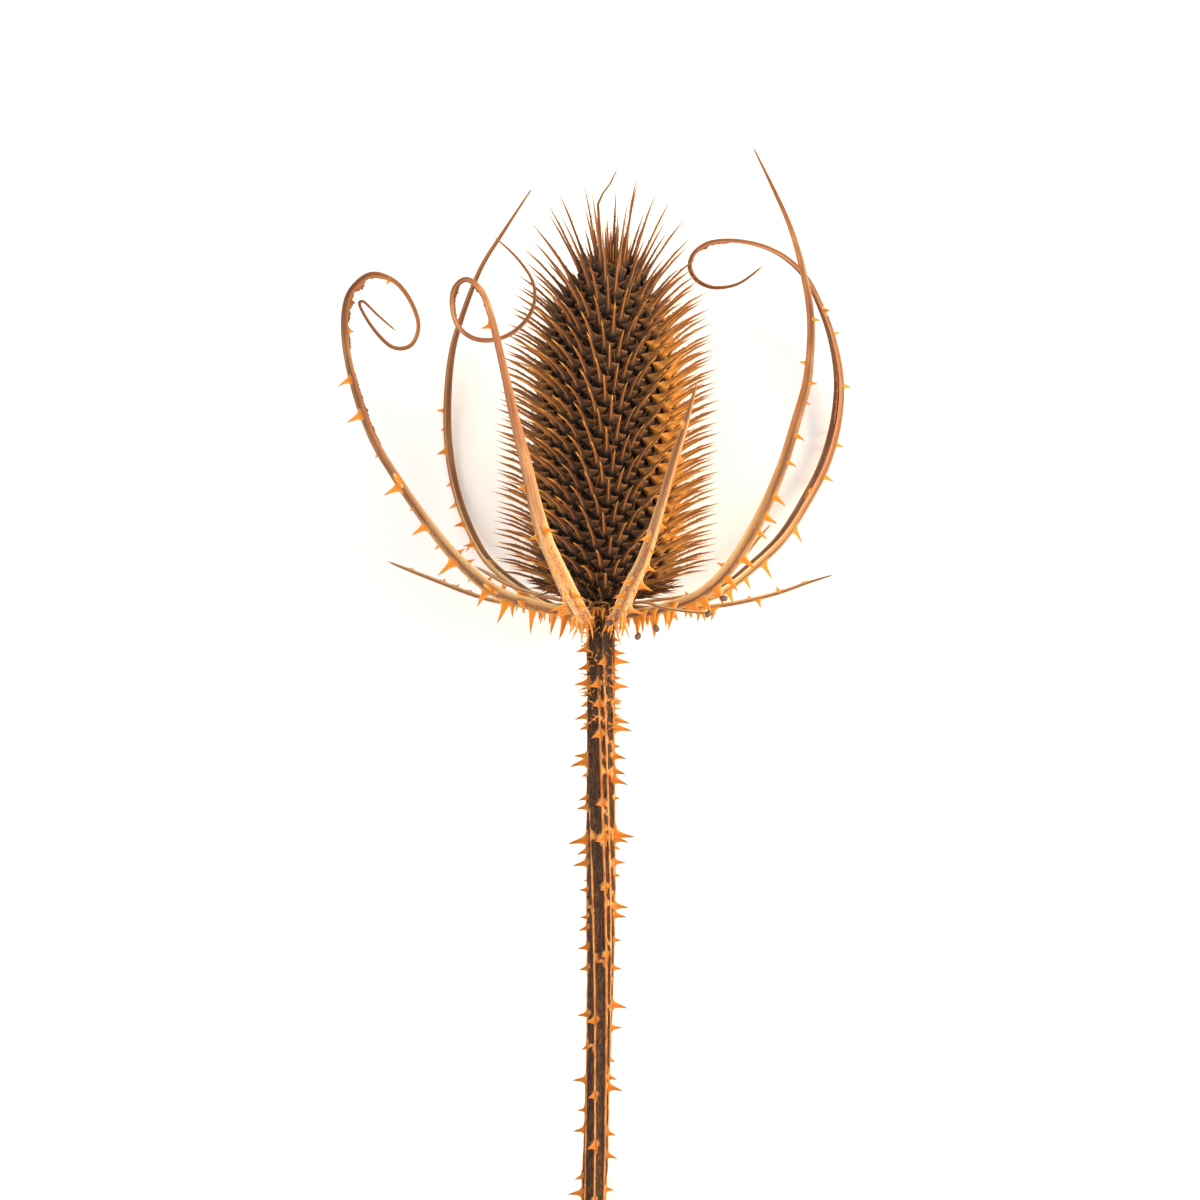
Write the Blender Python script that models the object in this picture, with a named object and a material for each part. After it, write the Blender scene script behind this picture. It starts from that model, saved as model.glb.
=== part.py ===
# A dried teasel as it lies after cutting: the spiny seed head, the prickly ridged stem below it
# and the ring of narrow bracts between them. The plant rests on two of its bracts and on a
# prickle near the lower end of the stem.
#
# Lengths below are millimetres and angles degrees, in the plant's own frame: X to the right,
# Y up the stem, Z to the front, with zero on the stem's axis where the bracts meet.

import math
import random

import bmesh
import bpy
from mathutils import Matrix, Vector

MM = 0.001

# How the plant lies: turned about X and then Y so that its three low points meet the surface.
REST_PITCH = 9.78
REST_ROLL = -0.9

# Stem: half thickness and sideways lean at each height, from the cut end up.
STEM_STATIONS = [
    (-127.0, 2.60, -1.5),
    (-117.0, 2.60, -1.2),
    (-107.0, 2.60, -0.8),
    (-95.0, 2.65, -0.5),
    (-82.0, 2.70, -0.1),
    (-70.0, 2.85, 0.1),
    (-58.0, 2.95, 0.2),
    (-45.0, 3.00, 0.2),
    (-32.0, 3.00, 0.2),
    (-19.0, 3.00, 0.2),
    (-8.0, 2.95, 0.1),
    (0.9, 2.75, 0.0),
]
RIDGE_BEARINGS = [-88, -37, 18, 44, 88, 135, 180, 225]
RIDGE_HEIGHT = -59.0
RIDGE_TWIST = 0.68
GROOVE_DEPTH = 0.55

# Prickles on the stem as (height, length), by the side that they stand out on.
STEM_PRICKLES = {
    -90: [
        (-8.8, 2.6), (-12.4, 2.4), (-15.6, 3.2), (-19.8, 1.9), (-22.2, 3.0), (-24.4, 2.1),
        (-30.2, 3.0), (-31.4, 4.0), (-34.0, 1.3), (-38.6, 1.9), (-40.4, 2.3), (-47.0, 4.1),
        (-49.2, 2.3), (-51.6, 3.1), (-57.0, 1.7), (-62.4, 1.5), (-64.6, 1.9), (-68.4, 2.1),
        (-72.6, 1.9), (-81.8, 2.3), (-88.4, 1.4), (-95.0, 3.0), (-101.0, 1.7), (-105.0, 2.5),
        (-114.4, 1.8), (-117.6, 2.9), (-122.6, 1.8),
    ],
    90: [
        (-9.6, 2.4), (-11.2, 3.5), (-16.2, 3.3), (-19.2, 1.8), (-23.0, 3.5), (-24.6, 3.9),
        (-28.2, 1.4), (-30.2, 2.8), (-33.2, 2.7), (-35.0, 3.0), (-38.6, 1.2), (-45.8, 4.2),
        (-46.8, 3.0), (-51.4, 2.2), (-54.0, 1.2), (-60.2, 3.0), (-62.0, 2.6), (-67.0, 1.5),
        (-72.6, 1.8), (-80.0, 3.3), (-84.6, 2.3), (-91.0, 1.3), (-94.4, 1.8), (-96.4, 3.1),
        (-105.6, 1.8), (-110.0, 2.2), (-116.8, 1.7), (-123.0, 2.4),
    ],
    0: [
        (-11.4, 2.2), (-15.8, 2.4), (-19.8, 1.8), (-25.8, 2.4), (-39.6, 2.0), (-46.6, 3.2),
        (-56.4, 2.0), (-70.0, 1.6), (-83.0, 2.2), (-98.0, 1.8), (-108.0, 2.4), (-119.0, 1.6),
    ],
}
BACK_PRICKLES = 22
BACK_BEARINGS = (140, 220)
BACK_HEIGHTS = (-123.0, -8.0)
BACK_LENGTHS = (1.4, 2.6)
STEM_PRICKLE_DROOP = 0.12

# Every prickle: how far its root is sunk, and the half length and half width of its foot, each
# a fixed part and a share of its length. The foot reaches less far back than forward.
PRICKLE_SUNK = 0.5
FOOT_LONG = (0.30, 0.18)
FOOT_WIDE = (0.24, 0.09)
FOOT_BACK = 0.6
STEM_FOOT_SUNK = 0.12

# Seed head: half thickness of the solid core at each height, and the lean of its axis.
CORE_PROFILE = [
    (1.2, 5.4),
    (1.8, 8.0),
    (3.4, 10.2),
    (6.2, 11.7),
    (11.0, 12.7),
    (20.0, 13.2),
    (36.0, 13.2),
    (48.0, 12.3),
    (56.0, 10.6),
    (61.5, 8.2),
    (65.5, 5.2),
    (67.8, 2.2),
]
CORE_SIDES = 22
HEAD_LEAN = 1.0
HEAD_LEAN_RATE = 0.0155
SPINE_COUNT = 520
SPINE_LOW = 3.6
GOLDEN_ANGLE = 137.508

# Spines by the height of their root: rise above the level, and length beyond the core. Each
# starts steeper by the arch, ends flatter by a share of it, and varies a little at random.
SPINE_RISE = [
    (3.6, 12.0), (7.0, 17.0), (15.0, 23.0), (30.0, 26.0), (42.0, 27.0), (50.0, 31.0),
    (55.0, 35.0), (60.0, 42.0), (63.0, 50.0), (65.5, 61.0), (67.8, 86.0),
]
SPINE_LENGTH = [
    (3.6, 11.6), (9.0, 11.0), (20.0, 10.7), (45.0, 10.7), (55.0, 10.9), (60.0, 12.2),
    (63.0, 15.2), (65.5, 18.0), (67.8, 18.8),
]
SPINE_ARCH = 11.0
ARCH_AT_TIP = 0.4
RISE_VARIES = 2.5
LENGTH_VARIES = (0.95, 1.05)
SPINE_SUNK = 1.3
SPINE_ROOT = (1.9, 1.2)
SPINE_WAIST = (0.72, 0.62)
SPINE_BELOW = 0.35
WAIST_AT = 0.34
KINKED_SPINE = [(0.4, 66.0, 1.6), (-0.4, 80.0, 3.4), (2.0, 84.0, 4.2), (3.6, 87.4, 4.6)]
KINKED_WIDTHS = (1.0, 0.55, 0.5)

# Bracts. A route point is (x, y, z, breadth). Depth is how deep the keeled section is for its
# breadth near the base. A prickle is (distance along the bract, side, length), with left and
# right as seen from outside with the tip up, and "in" for one that leans to the hollow face.
BRACTS = {
    "bract_left_long": {
        "route": [
            (-3.5, -1.8, 0.3, 2.1), (-7.5, -1.0, 1.9, 2.6), (-14.8, 0.7, 4.4, 3.0),
            (-21.8, 3.6, 6.2, 3.0), (-28.8, 9.9, 7.6, 2.7), (-34.8, 17.3, 8.8, 2.3),
            (-40.1, 25.0, 9.8, 2.0), (-44.8, 32.8, 10.4, 1.8), (-47.9, 40.9, 10.8, 1.7),
            (-50.1, 50.0, 11.0, 1.6), (-50.6, 57.2, 11.0, 1.5), (-49.4, 62.2, 10.8, 1.4),
            (-45.6, 65.5, 10.5, 1.25), (-41.2, 64.4, 10.2, 1.1), (-38.0, 60.8, 10.0, 1.0),
            (-36.2, 55.8, 9.8, 0.95), (-37.6, 51.8, 9.6, 0.95), (-41.2, 51.4, 9.5, 0.9),
            (-44.9, 54.9, 9.5, 0.8), (-47.6, 59.4, 9.8, 0.7), (-46.9, 60.3, 10.6, 0.6),
            (-44.0, 57.5, 10.8, 0.5), (-40.2, 54.2, 10.6, 0.35),
        ],
        "depth": 0.8,
        "prickles": [
            (97.4, "right_in", 1.2), (80.3, "right_in", 1.6), (70.6, "keel", 2.2),
            (63.3, "keel", 2.6), (55.0, "left", 1.8), (48.5, "right", 2.6),
            (47.3, "keel", 2.8), (42.0, "left", 2.0), (37.9, "keel", 2.8), (33.0, "left", 2.2),
            (29.6, "right_in", 1.8), (29.0, "keel", 3.6), (26.9, "right_in", 1.8),
            (24.0, "left", 2.4), (21.4, "right_in", 1.4), (20.4, "keel", 3.0),
            (20.0, "right", 2.6), (17.8, "right_in", 1.2), (16.1, "keel", 4.0),
            (13.4, "right", 2.8), (10.5, "keel", 5.0), (8.6, "left", 2.6), (6.0, "keel", 4.4),
            (4.8, "right", 3.4), (3.6, "keel", 5.2), (1.6, "right", 3.8),
        ],
    },
    "bract_left_back": {
        "route": [
            (-2.25, -1.8, -2.7, 1.9), (-8.0, -0.9, -8.0, 2.1), (-14.2, 2.2, -13.8, 2.1),
            (-19.8, 6.2, -19.0, 2.0), (-23.7, 10.2, -22.5, 1.9), (-27.0, 16.5, -25.6, 1.85),
            (-29.6, 24.3, -27.8, 1.75), (-31.0, 33.2, -28.8, 1.7), (-31.1, 42.0, -28.8, 1.6),
            (-30.3, 50.6, -28.0, 1.4), (-28.5, 57.5, -26.8, 1.2), (-24.4, 68.0, -24.0, 0.95),
            (-20.0, 75.0, -21.2, 0.75), (-13.7, 84.3, -17.0, 0.3),
        ],
        "depth": 0.85,
        "prickles": [
            (63.9, "keel", 1.6), (63.2, "left", 1.5), (60.1, "keel", 1.0),
            (55.6, "right", 1.6), (49.1, "keel", 1.7), (44.8, "keel", 2.1),
            (40.0, "right", 1.9), (35.9, "keel", 2.2), (35.0, "right", 1.8),
            (29.8, "left", 1.8), (29.2, "right_in", 1.6), (24.0, "keel", 2.8),
            (19.0, "keel", 3.2), (16.0, "left", 2.4), (12.5, "keel", 3.8), (9.0, "right", 3.2),
            (6.2, "keel", 4.4), (2.8, "keel", 4.6),
        ],
    },
    "bract_front_left": {
        "route": [
            (-1.9, -2.5, 2.95, 2.2), (-3.2, -2.8, 8.5, 3.2), (-4.0, -1.8, 14.5, 3.6),
            (-5.3, 0.4, 20.5, 3.7), (-7.3, 4.5, 25.2, 3.6), (-9.3, 9.0, 28.0, 3.3),
            (-11.0, 13.0, 29.8, 3.1), (-12.9, 19.5, 31.3, 2.85), (-14.9, 28.5, 32.0, 2.4),
            (-17.0, 37.0, 31.6, 2.0), (-18.7, 45.0, 30.6, 1.65), (-20.2, 51.5, 29.8, 1.5),
            (-21.5, 56.8, 29.2, 1.35), (-23.3, 61.5, 28.8, 1.25), (-26.1, 63.9, 28.4, 1.15),
            (-28.5, 62.4, 28.0, 1.05), (-29.1, 59.0, 27.4, 1.0), (-28.0, 55.0, 26.6, 1.0),
            (-25.2, 52.6, 25.8, 0.95), (-21.5, 52.1, 25.2, 0.95), (-17.5, 53.4, 24.8, 0.9),
            (-14.2, 56.5, 24.6, 0.85), (-12.8, 60.2, 24.5, 0.75), (-13.4, 64.2, 24.4, 0.65),
            (-16.6, 68.7, 24.2, 0.5), (-21.1, 72.8, 24.0, 0.3),
        ],
        "depth": 0.5,
        "prickles": [
            (78.9, "left", 1.6), (46.1, "left", 1.2), (37.1, "right", 2.2),
            (36.2, "left", 1.4), (28.7, "keel", 2.2), (23.2, "keel", 2.6),
            (21.7, "right", 2.4), (18.4, "left", 3.2), (14.6, "keel", 4.0),
            (13.0, "right", 2.6), (10.5, "left", 3.6), (7.4, "keel", 4.8), (5.5, "right", 4.0),
            (4.6, "left", 4.2), (2.6, "keel", 4.6),
        ],
    },
    "bract_front_right": {
        "route": [
            (1.9, -2.4, 2.95, 2.2), (3.2, -2.6, 8.5, 3.0), (4.2, -1.6, 14.5, 3.3),
            (5.2, 1.0, 20.2, 3.3), (6.6, 4.2, 23.8, 3.2), (8.4, 8.0, 26.6, 2.8),
            (10.1, 12.8, 28.8, 2.4), (11.9, 18.8, 30.2, 2.0), (13.4, 24.0, 30.8, 1.85),
            (15.2, 30.2, 30.6, 1.65), (17.0, 36.0, 29.6, 1.3), (19.2, 44.2, 27.5, 0.3),
        ],
        "depth": 0.5,
        "prickles": [
            (57.5, "left", 0.9), (51.0, "right", 1.0), (37.1, "right", 1.2),
            (34.3, "left", 1.9), (32.2, "keel", 1.8), (28.0, "right", 1.6),
            (24.2, "left", 1.9), (23.6, "right", 2.4), (23.0, "keel", 2.2),
            (20.1, "left", 1.8), (17.0, "left", 2.2), (15.0, "right", 3.0),
            (12.0, "keel", 4.2), (9.5, "left", 3.6), (7.0, "right", 4.2), (5.4, "keel", 5.0),
            (2.8, "left", 4.0), (1.8, "keel", 4.0),
        ],
    },
    "bract_right_tall": {
        "route": [
            (3.5, -1.8, 0.3, 2.1), (9.0, -1.2, 3.2, 2.5), (14.1, 0.1, 5.2, 2.7),
            (19.5, 2.1, 7.0, 2.8), (24.5, 6.3, 8.4, 2.9), (29.0, 12.6, 9.6, 2.8),
            (33.1, 20.5, 10.6, 2.5), (36.3, 28.4, 11.2, 2.3), (39.0, 37.2, 11.6, 2.1),
            (40.9, 44.0, 11.6, 1.9), (41.7, 51.5, 11.3, 1.7), (41.6, 58.5, 10.8, 1.6),
            (40.2, 66.5, 10.0, 1.4), (37.8, 75.0, 8.8, 1.1), (34.6, 82.5, 7.6, 0.8),
            (30.3, 91.6, 6.0, 0.3),
        ],
        "depth": 0.8,
        "prickles": [
            (79.0, "keel", 1.2), (70.3, "left_in", 1.4), (66.5, "keel", 1.4),
            (62.6, "keel", 1.0), (55.8, "keel", 1.8), (50.3, "keel", 1.7), (43.0, "keel", 2.4),
            (38.7, "keel", 2.4), (35.4, "keel", 2.0), (29.4, "keel", 3.0),
            (26.1, "left_in", 1.9), (24.5, "keel", 3.0), (21.6, "keel", 3.2),
            (18.4, "keel", 3.4), (16.2, "left_in", 1.2), (15.4, "keel", 2.4),
            (12.7, "left", 4.2), (10.5, "keel", 2.8), (8.3, "keel", 5.2), (6.2, "left", 4.4),
            (4.4, "keel", 4.6), (1.8, "left", 4.0),
        ],
    },
    "bract_right_outer": {
        "route": [
            (2.25, -1.8, -2.7, 1.9), (9.0, -1.0, -6.0, 2.2), (16.0, 0.2, -8.8, 2.3),
            (23.9, 2.8, -12.5, 2.4), (30.6, 7.8, -17.2, 2.5), (36.8, 13.7, -21.8, 2.5),
            (41.7, 21.1, -26.0, 2.5), (45.6, 28.6, -28.8, 2.5), (48.0, 36.9, -30.4, 2.4),
            (48.7, 45.5, -30.6, 2.1), (47.4, 53.6, -29.4, 1.7), (44.9, 60.6, -27.4, 1.4),
            (41.4, 66.9, -24.6, 1.2), (35.9, 71.3, -21.0, 1.1), (29.2, 73.3, -17.6, 1.0),
            (22.9, 73.2, -14.8, 0.95), (19.3, 71.2, -13.2, 0.95), (18.1, 68.2, -12.2, 0.95),
            (19.4, 65.5, -11.6, 0.9), (22.2, 64.0, -11.2, 0.8), (25.6, 64.0, -11.0, 0.7),
            (28.9, 65.2, -10.8, 0.55), (33.1, 68.5, -10.6, 0.3),
        ],
        "depth": 0.8,
        "prickles": [
            (101.7, "left_in", 1.0), (95.0, "left", 1.2), (89.6, "keel", 1.3),
            (79.0, "keel", 1.8), (70.0, "right", 1.4), (67.2, "keel", 1.8),
            (60.3, "keel", 2.2), (55.3, "left_in", 2.0), (51.0, "right", 1.8),
            (47.1, "keel", 3.0), (41.0, "right", 2.0), (36.7, "keel", 3.2),
            (31.2, "keel", 2.2), (26.4, "keel", 2.8), (23.0, "left", 2.6), (19.7, "keel", 3.2),
            (16.0, "left", 3.4), (13.0, "keel", 4.2), (9.0, "keel", 4.6), (5.6, "left", 4.0),
            (3.0, "keel", 4.4),
        ],
    },
    "bract_left_low": {
        "route": [
            (-3.4, 0.1, -0.9, 1.1), (-10.0, 0.1, -2.2, 1.2), (-18.9, 0.6, -3.4, 1.1),
            (-25.1, 2.1, -3.8, 1.05), (-32.5, 4.9, -3.8, 0.95), (-38.2, 7.1, -3.6, 0.8),
            (-42.9, 8.9, -3.4, 0.3),
        ],
        "depth": 0.8,
        "prickles": [
            (35.8, "right_in", 0.7), (29.0, "right_in", 1.0), (26.1, "right_in", 1.0),
            (23.2, "right_in", 0.8), (12.0, "keel", 1.6), (6.0, "keel", 2.2),
        ],
    },
    "bract_right_low": {
        "route": [
            (3.5, 0.1, 0.2, 1.1), (9.0, -0.4, 0.7, 1.2), (15.0, -0.5, 1.2, 1.2),
            (21.7, -0.2, 1.6, 1.2), (28.3, 0.8, 1.8, 1.1), (35.7, 2.6, 1.9, 0.95),
            (41.5, 4.6, 1.9, 0.75), (47.0, 6.2, 1.8, 0.3),
        ],
        "depth": 0.8,
        "prickles": [
            (37.9, "left_in", 0.7), (32.6, "left_in", 1.2), (28.2, "keel", 1.5),
            (26.6, "left_in", 0.9), (19.2, "keel", 2.2), (16.4, "keel", 2.2),
            (13.9, "keel", 1.8), (10.0, "keel", 3.0), (6.0, "keel", 3.4),
        ],
    },
    "bract_left_thin": {
        "route": [
            (-2.8, 0.3, -2.2, 0.9), (-8.5, 1.2, -5.8, 0.9), (-14.8, 2.9, -8.9, 0.9),
            (-18.5, 4.2, -10.6, 0.85), (-22.2, 6.2, -12.2, 0.8), (-25.5, 8.0, -13.4, 0.3),
        ],
        "depth": 0.8,
        "prickles": [],
    },
    "bract_right_thin": {
        "route": [
            (3.25, 0.3, -1.3, 0.9), (10.0, 0.9, -1.7, 0.9), (20.0, 2.6, -1.2, 0.9),
            (25.0, 6.2, -0.7, 0.85), (28.7, 9.9, -0.3, 0.8), (31.4, 13.2, 0.0, 0.7),
            (34.2, 16.3, 0.2, 0.3),
        ],
        "depth": 0.8,
        "prickles": [],
    },
    "bract_front_thin": {
        "route": [
            (2.6, 0.1, 2.4, 0.8), (6.0, 0.5, 8.6, 0.8), (9.1, 0.6, 11.6, 0.75),
            (13.0, -0.5, 13.5, 0.7), (18.7, -1.3, 14.6, 0.65), (23.5, -1.7, 15.0, 0.3),
        ],
        "depth": 0.9,
        "prickles": [],
    },
    "bract_back": {
        "route": [
            (0.0, -1.8, -3.5, 1.7), (2.2, -1.6, -11.0, 1.9), (4.6, -0.2, -17.4, 1.9),
            (6.2, 2.8, -22.0, 1.8), (7.2, 7.0, -24.4, 1.6), (8.3, 13.0, -25.4, 1.4),
            (9.4, 20.0, -26.0, 1.2), (10.4, 27.0, -26.0, 0.9), (11.4, 33.0, -25.2, 0.3),
        ],
        "depth": 0.6,
        "prickles": [
            (24.0, "right", 1.4), (20.0, "left", 1.6), (12.0, "right", 2.4),
            (9.6, "keel", 3.4), (6.0, "keel", 4.0), (3.0, "left", 3.2),
        ],
    },
}
PRICKLE_WAYS = {
    "keel": (0.0, -1.0),
    "left": (0.9, -0.35),
    "right": (-0.9, -0.35),
    "left_in": (0.75, 0.65),
    "right_in": (-0.75, 0.65),
}
PRICKLE_REACH = (0.40, 0.55)

# A bract's section as (across, inwards) in parts of its breadth and depth: two margins, a
# dished inner face and a keel. Its depth and dish grow over the first part of its length.
BRACT_OUTLINE = [
    (-0.5, 0.30), (0.0, None), (0.5, 0.30), (0.36, -0.26), (0.0, -0.62), (-0.36, -0.26),
]
SLENDER_AT = 0.6
SLENDER_DEPTH = 0.95
DISH = (0.02, 0.27)

# Sections along a bract: points per span of its route, and the longest step and sharpest turn.
STEPS_PER_SPAN = 14
LONGEST_STEP = 7.0
MOST_TURN = 17.0

SHARP_EDGE = 38

# Colours as the photo shows them, with roughness.
LOOKS = {
    "stem": ((0.30, 0.14, 0.06), 0.7),
    "seed_head": ((0.24, 0.11, 0.045), 0.75),
    "bract": ((0.52, 0.25, 0.10), 0.6),
}


def between(table, at):
    """The value at a height, read straight between the rows of (height, value)."""
    if at <= table[0][0]:
        return table[0][1]
    for (low, first), (high, second) in zip(table, table[1:]):
        if at <= high:
            return first + (second - first) * (at - low) / (high - low)
    return table[-1][1]


def loft(rings):
    """A closed body through rings of equal count. A last ring of one point is a tip."""
    tip = rings[-1][0] if len(rings[-1]) == 1 else None
    bm = bmesh.new()
    made = bmesh.ops.create_circle(bm, cap_ends=True, segments=len(rings[0]), radius=1.0)
    for vert, point in zip(made["verts"], rings[0]):
        vert.co = point
    face = bm.faces[:][0]
    ring = made["verts"]
    for points in rings[1:]:
        grown = bmesh.ops.extrude_face_region(bm, geom=[face])["geom"]
        if points is not rings[1]:
            bmesh.ops.delete(bm, geom=[face], context="FACES_ONLY")
        face = next(item for item in grown if isinstance(item, bmesh.types.BMFace))
        fresh = [item for item in grown if isinstance(item, bmesh.types.BMVert)]
        ring = [min(fresh, key=lambda v, old=old: (v.co - old.co).length) for old in ring]
        if tip is None or points is not rings[-1]:
            for vert, point in zip(ring, points):
                vert.co = point
    if tip is not None:
        bmesh.ops.pointmerge(bm, verts=ring, merge_co=tip)
    bmesh.ops.recalc_face_normals(bm, faces=bm.faces)
    bmesh.ops.scale(bm, vec=Vector((MM, MM, MM)), verts=bm.verts)
    mesh = bpy.data.meshes.new("loft")
    bm.to_mesh(mesh)
    bm.free()
    return mesh


def material_of(name):
    """The material of a node, made once for all bracts."""
    kind = name if name in LOOKS else "bract"
    if kind in bpy.data.materials:
        return bpy.data.materials[kind]
    colour, roughness = LOOKS[kind]
    material = bpy.data.materials.new(kind)
    material.use_nodes = True
    shader = material.node_tree.nodes["Principled BSDF"]
    shader.inputs["Base Color"].default_value = (*colour, 1.0)
    shader.inputs["Roughness"].default_value = roughness
    shader.inputs["Metallic"].default_value = 0.0
    material.diffuse_color = (*colour, 1.0)
    return material


def fuse(name, body, growths, home, helpers):
    """One object of the body's mesh with every growth united to it."""
    obj = bpy.data.objects.new(name, body)
    home.objects.link(obj)
    body.name = name
    body.materials.append(material_of(name))
    if growths:
        batch = bpy.data.collections.new(name + "_growths")
        batch.hide_render = True
        helpers.children.link(batch)
        for growth in growths:
            batch.objects.link(bpy.data.objects.new("growth", growth))
        union = obj.modifiers.new("fuse", "BOOLEAN")
        union.operand_type = "COLLECTION"
        union.collection = batch
        union.operation = "UNION"
        union.solver = "MANIFOLD"
        with bpy.context.temp_override(object=obj, active_object=obj):
            bpy.ops.object.modifier_apply(modifier=union.name)
        for growth in list(batch.objects):
            bpy.data.objects.remove(growth)
        bpy.data.collections.remove(batch)
    for polygon in obj.data.polygons:
        polygon.use_smooth = True
    obj.data.set_sharp_from_angle(angle=math.radians(SHARP_EDGE))
    return obj


def thorn(root, out, along, length):
    """A three-sided prickle, its root drawn out along what it grows from and sunk in it."""
    out = out.normalized()
    along = (along - along.dot(out) * out).normalized()
    across = out.cross(along)
    half_long = FOOT_LONG[0] + FOOT_LONG[1] * length
    half_wide = FOOT_WIDE[0] + FOOT_WIDE[1] * length
    base = root - out * PRICKLE_SUNK
    corners = [
        base + along * half_long,
        base - along * FOOT_BACK * half_long + across * half_wide,
        base - along * FOOT_BACK * half_long - across * half_wide,
    ]
    return loft([corners, [root + out * length]])


def bearing(angle):
    """The level direction at an angle from the front, turning to the right."""
    return Vector((math.sin(math.radians(angle)), 0.0, math.cos(math.radians(angle))))


def stem_ring(height, half, lean):
    """Sixteen points: a crest on each ridge and a groove between each two."""
    turn = RIDGE_TWIST * (RIDGE_HEIGHT - height)
    points = []
    for here, following in zip(RIDGE_BEARINGS, RIDGE_BEARINGS[1:] + [RIDGE_BEARINGS[0] + 360]):
        groove = half - GROOVE_DEPTH * (following - here) / 45
        for angle, reach in ((here, half), ((here + following) / 2, groove)):
            points.append(Vector((lean, height, 0)) + bearing(angle + turn) * reach)
    return points


def build_stem(home, helpers):
    body = loft([stem_ring(*station) for station in STEM_STATIONS])
    halves = [(height, half) for height, half, _ in STEM_STATIONS]
    leans = [(height, lean) for height, _, lean in STEM_STATIONS]
    rng = random.Random(11)
    spots = [(side, *spot) for side, rows in STEM_PRICKLES.items() for spot in rows]
    low, high = BACK_HEIGHTS
    for index in range(BACK_PRICKLES):
        height = low + (high - low) * (index + rng.random()) / BACK_PRICKLES
        spots.append((rng.uniform(*BACK_BEARINGS), height, rng.uniform(*BACK_LENGTHS)))
    growths = []
    for side, height, length in spots:
        turn = RIDGE_TWIST * (RIDGE_HEIGHT - height)
        angle = min(
            (ridge + turn for ridge in RIDGE_BEARINGS),
            key=lambda ridge: abs((ridge - side + 180) % 360 - 180),
        )
        out = bearing(angle)
        root = Vector((between(leans, height), height, 0))
        root += out * (between(halves, height) - STEM_FOOT_SUNK)
        droop = Vector((0, -STEM_PRICKLE_DROOP, 0))
        growths.append(thorn(root, out + droop, Vector((0, 1, 0)), length))
    return fuse("stem", body, growths, home, helpers)


def axis_at(height):
    return Vector((HEAD_LEAN + HEAD_LEAN_RATE * height, height, 0))


def core_ring(height, half):
    return [
        axis_at(height) + bearing(360 * side / CORE_SIDES) * half for side in range(CORE_SIDES)
    ]


def spine_roots():
    """Height and bearing of each spine: even over the core's surface, in a golden spiral."""
    heights = [SPINE_LOW]
    areas = [0.0]
    step = 0.25
    while heights[-1] < CORE_PROFILE[-1][0] - step:
        height = heights[-1] + step
        half = between(CORE_PROFILE, height)
        slope = (half - between(CORE_PROFILE, height - step)) / step
        areas.append(areas[-1] + half * math.sqrt(1 + slope * slope))
        heights.append(height)
    table = [(area / areas[-1], height) for area, height in zip(areas, heights)]
    for index in range(SPINE_COUNT):
        yield between(table, (index + 0.5) / SPINE_COUNT), index * GOLDEN_ANGLE


def spine(height, angle, rng):
    """A flared, keeled scale drawn out to a stiff point that arches outwards."""
    level = bearing(angle)
    up = Vector((0, 1, 0))
    rise = between(SPINE_RISE, height) + rng.uniform(-RISE_VARIES, RISE_VARIES)
    length = between(SPINE_LENGTH, height) * rng.uniform(*LENGTH_VARIES)

    def towards(degrees):
        return level * math.cos(math.radians(degrees)) + up * math.sin(math.radians(degrees))

    across = up.cross(level)
    start = towards(min(rise + SPINE_ARCH, 89))
    end = towards(rise - ARCH_AT_TIP * SPINE_ARCH)
    root = axis_at(height) + level * between(CORE_PROFILE, height)
    waist = root + start * length * WAIST_AT
    tip = waist + end * length * (1 - WAIST_AT)

    def section(centre, direction, size):
        over = across.cross(direction).normalized()
        wide, deep = size
        return [
            centre + across * wide / 2 + over * deep * SPINE_BELOW,
            centre - across * wide / 2 + over * deep * SPINE_BELOW,
            centre - over * deep * (1 - SPINE_BELOW),
        ]

    inner = root - level * SPINE_SUNK
    return loft([section(inner, start, SPINE_ROOT), section(waist, start, SPINE_WAIST), [tip]])


def kinked_spine():
    rings = []
    for place, size in zip(KINKED_SPINE, KINKED_WIDTHS):
        centre = Vector(place)
        rings.append([centre + bearing(turn) * size / 2 for turn in (0, 120, 240)])
    return loft(rings + [[Vector(KINKED_SPINE[-1])]])


def build_head(home, helpers):
    body = loft([core_ring(height, half) for height, half in CORE_PROFILE])
    rng = random.Random(5)
    growths = [spine(height, angle, rng) for height, angle in spine_roots()]
    growths.append(kinked_spine())
    return fuse("seed_head", body, growths, home, helpers)


def smooth_route(route):
    """Close points (place, breadth) on a Catmull-Rom curve through the route."""
    rows = [Vector(row) for row in route]
    rows = [2 * rows[0] - rows[1]] + rows + [2 * rows[-1] - rows[-2]]
    found = []
    for before, here, there, after in zip(rows, rows[1:], rows[2:], rows[3:]):
        for step in range(STEPS_PER_SPAN):
            t = step / STEPS_PER_SPAN
            found.append(
                0.5
                * (
                    2 * here
                    + (there - before) * t
                    + (2 * before - 5 * here + 4 * there - after) * t * t
                    + (3 * here - before - 3 * there + after) * t * t * t
                )
            )
    found.append(rows[-2])
    return found


def stations_of(route):
    """Stations (place, breadth, along, inner side, distance), closer where the route turns."""
    close = smooth_route(route)
    places = [row.xyz for row in close]
    along = last_along = (places[1] - places[0]).normalized()
    inner = Vector((0, 1, 0))
    inner = (inner - inner.dot(along) * along).normalized()
    stations = [(places[0], close[0].w, along, inner, 0.0)]
    distance = 0.0
    for index in range(1, len(places)):
        distance += (places[index] - places[index - 1]).length
        following = places[min(index + 1, len(places) - 1)]
        ahead = (following - places[index - 1]).normalized()
        inner = along.rotation_difference(ahead).to_matrix() @ inner
        along = ahead
        turned = math.degrees(last_along.angle(along))
        far = distance - stations[-1][4] > LONGEST_STEP
        if turned > MOST_TURN or far or index == len(places) - 1:
            stations.append((places[index], close[index].w, along, inner, distance))
            last_along = along
    return stations


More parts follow.
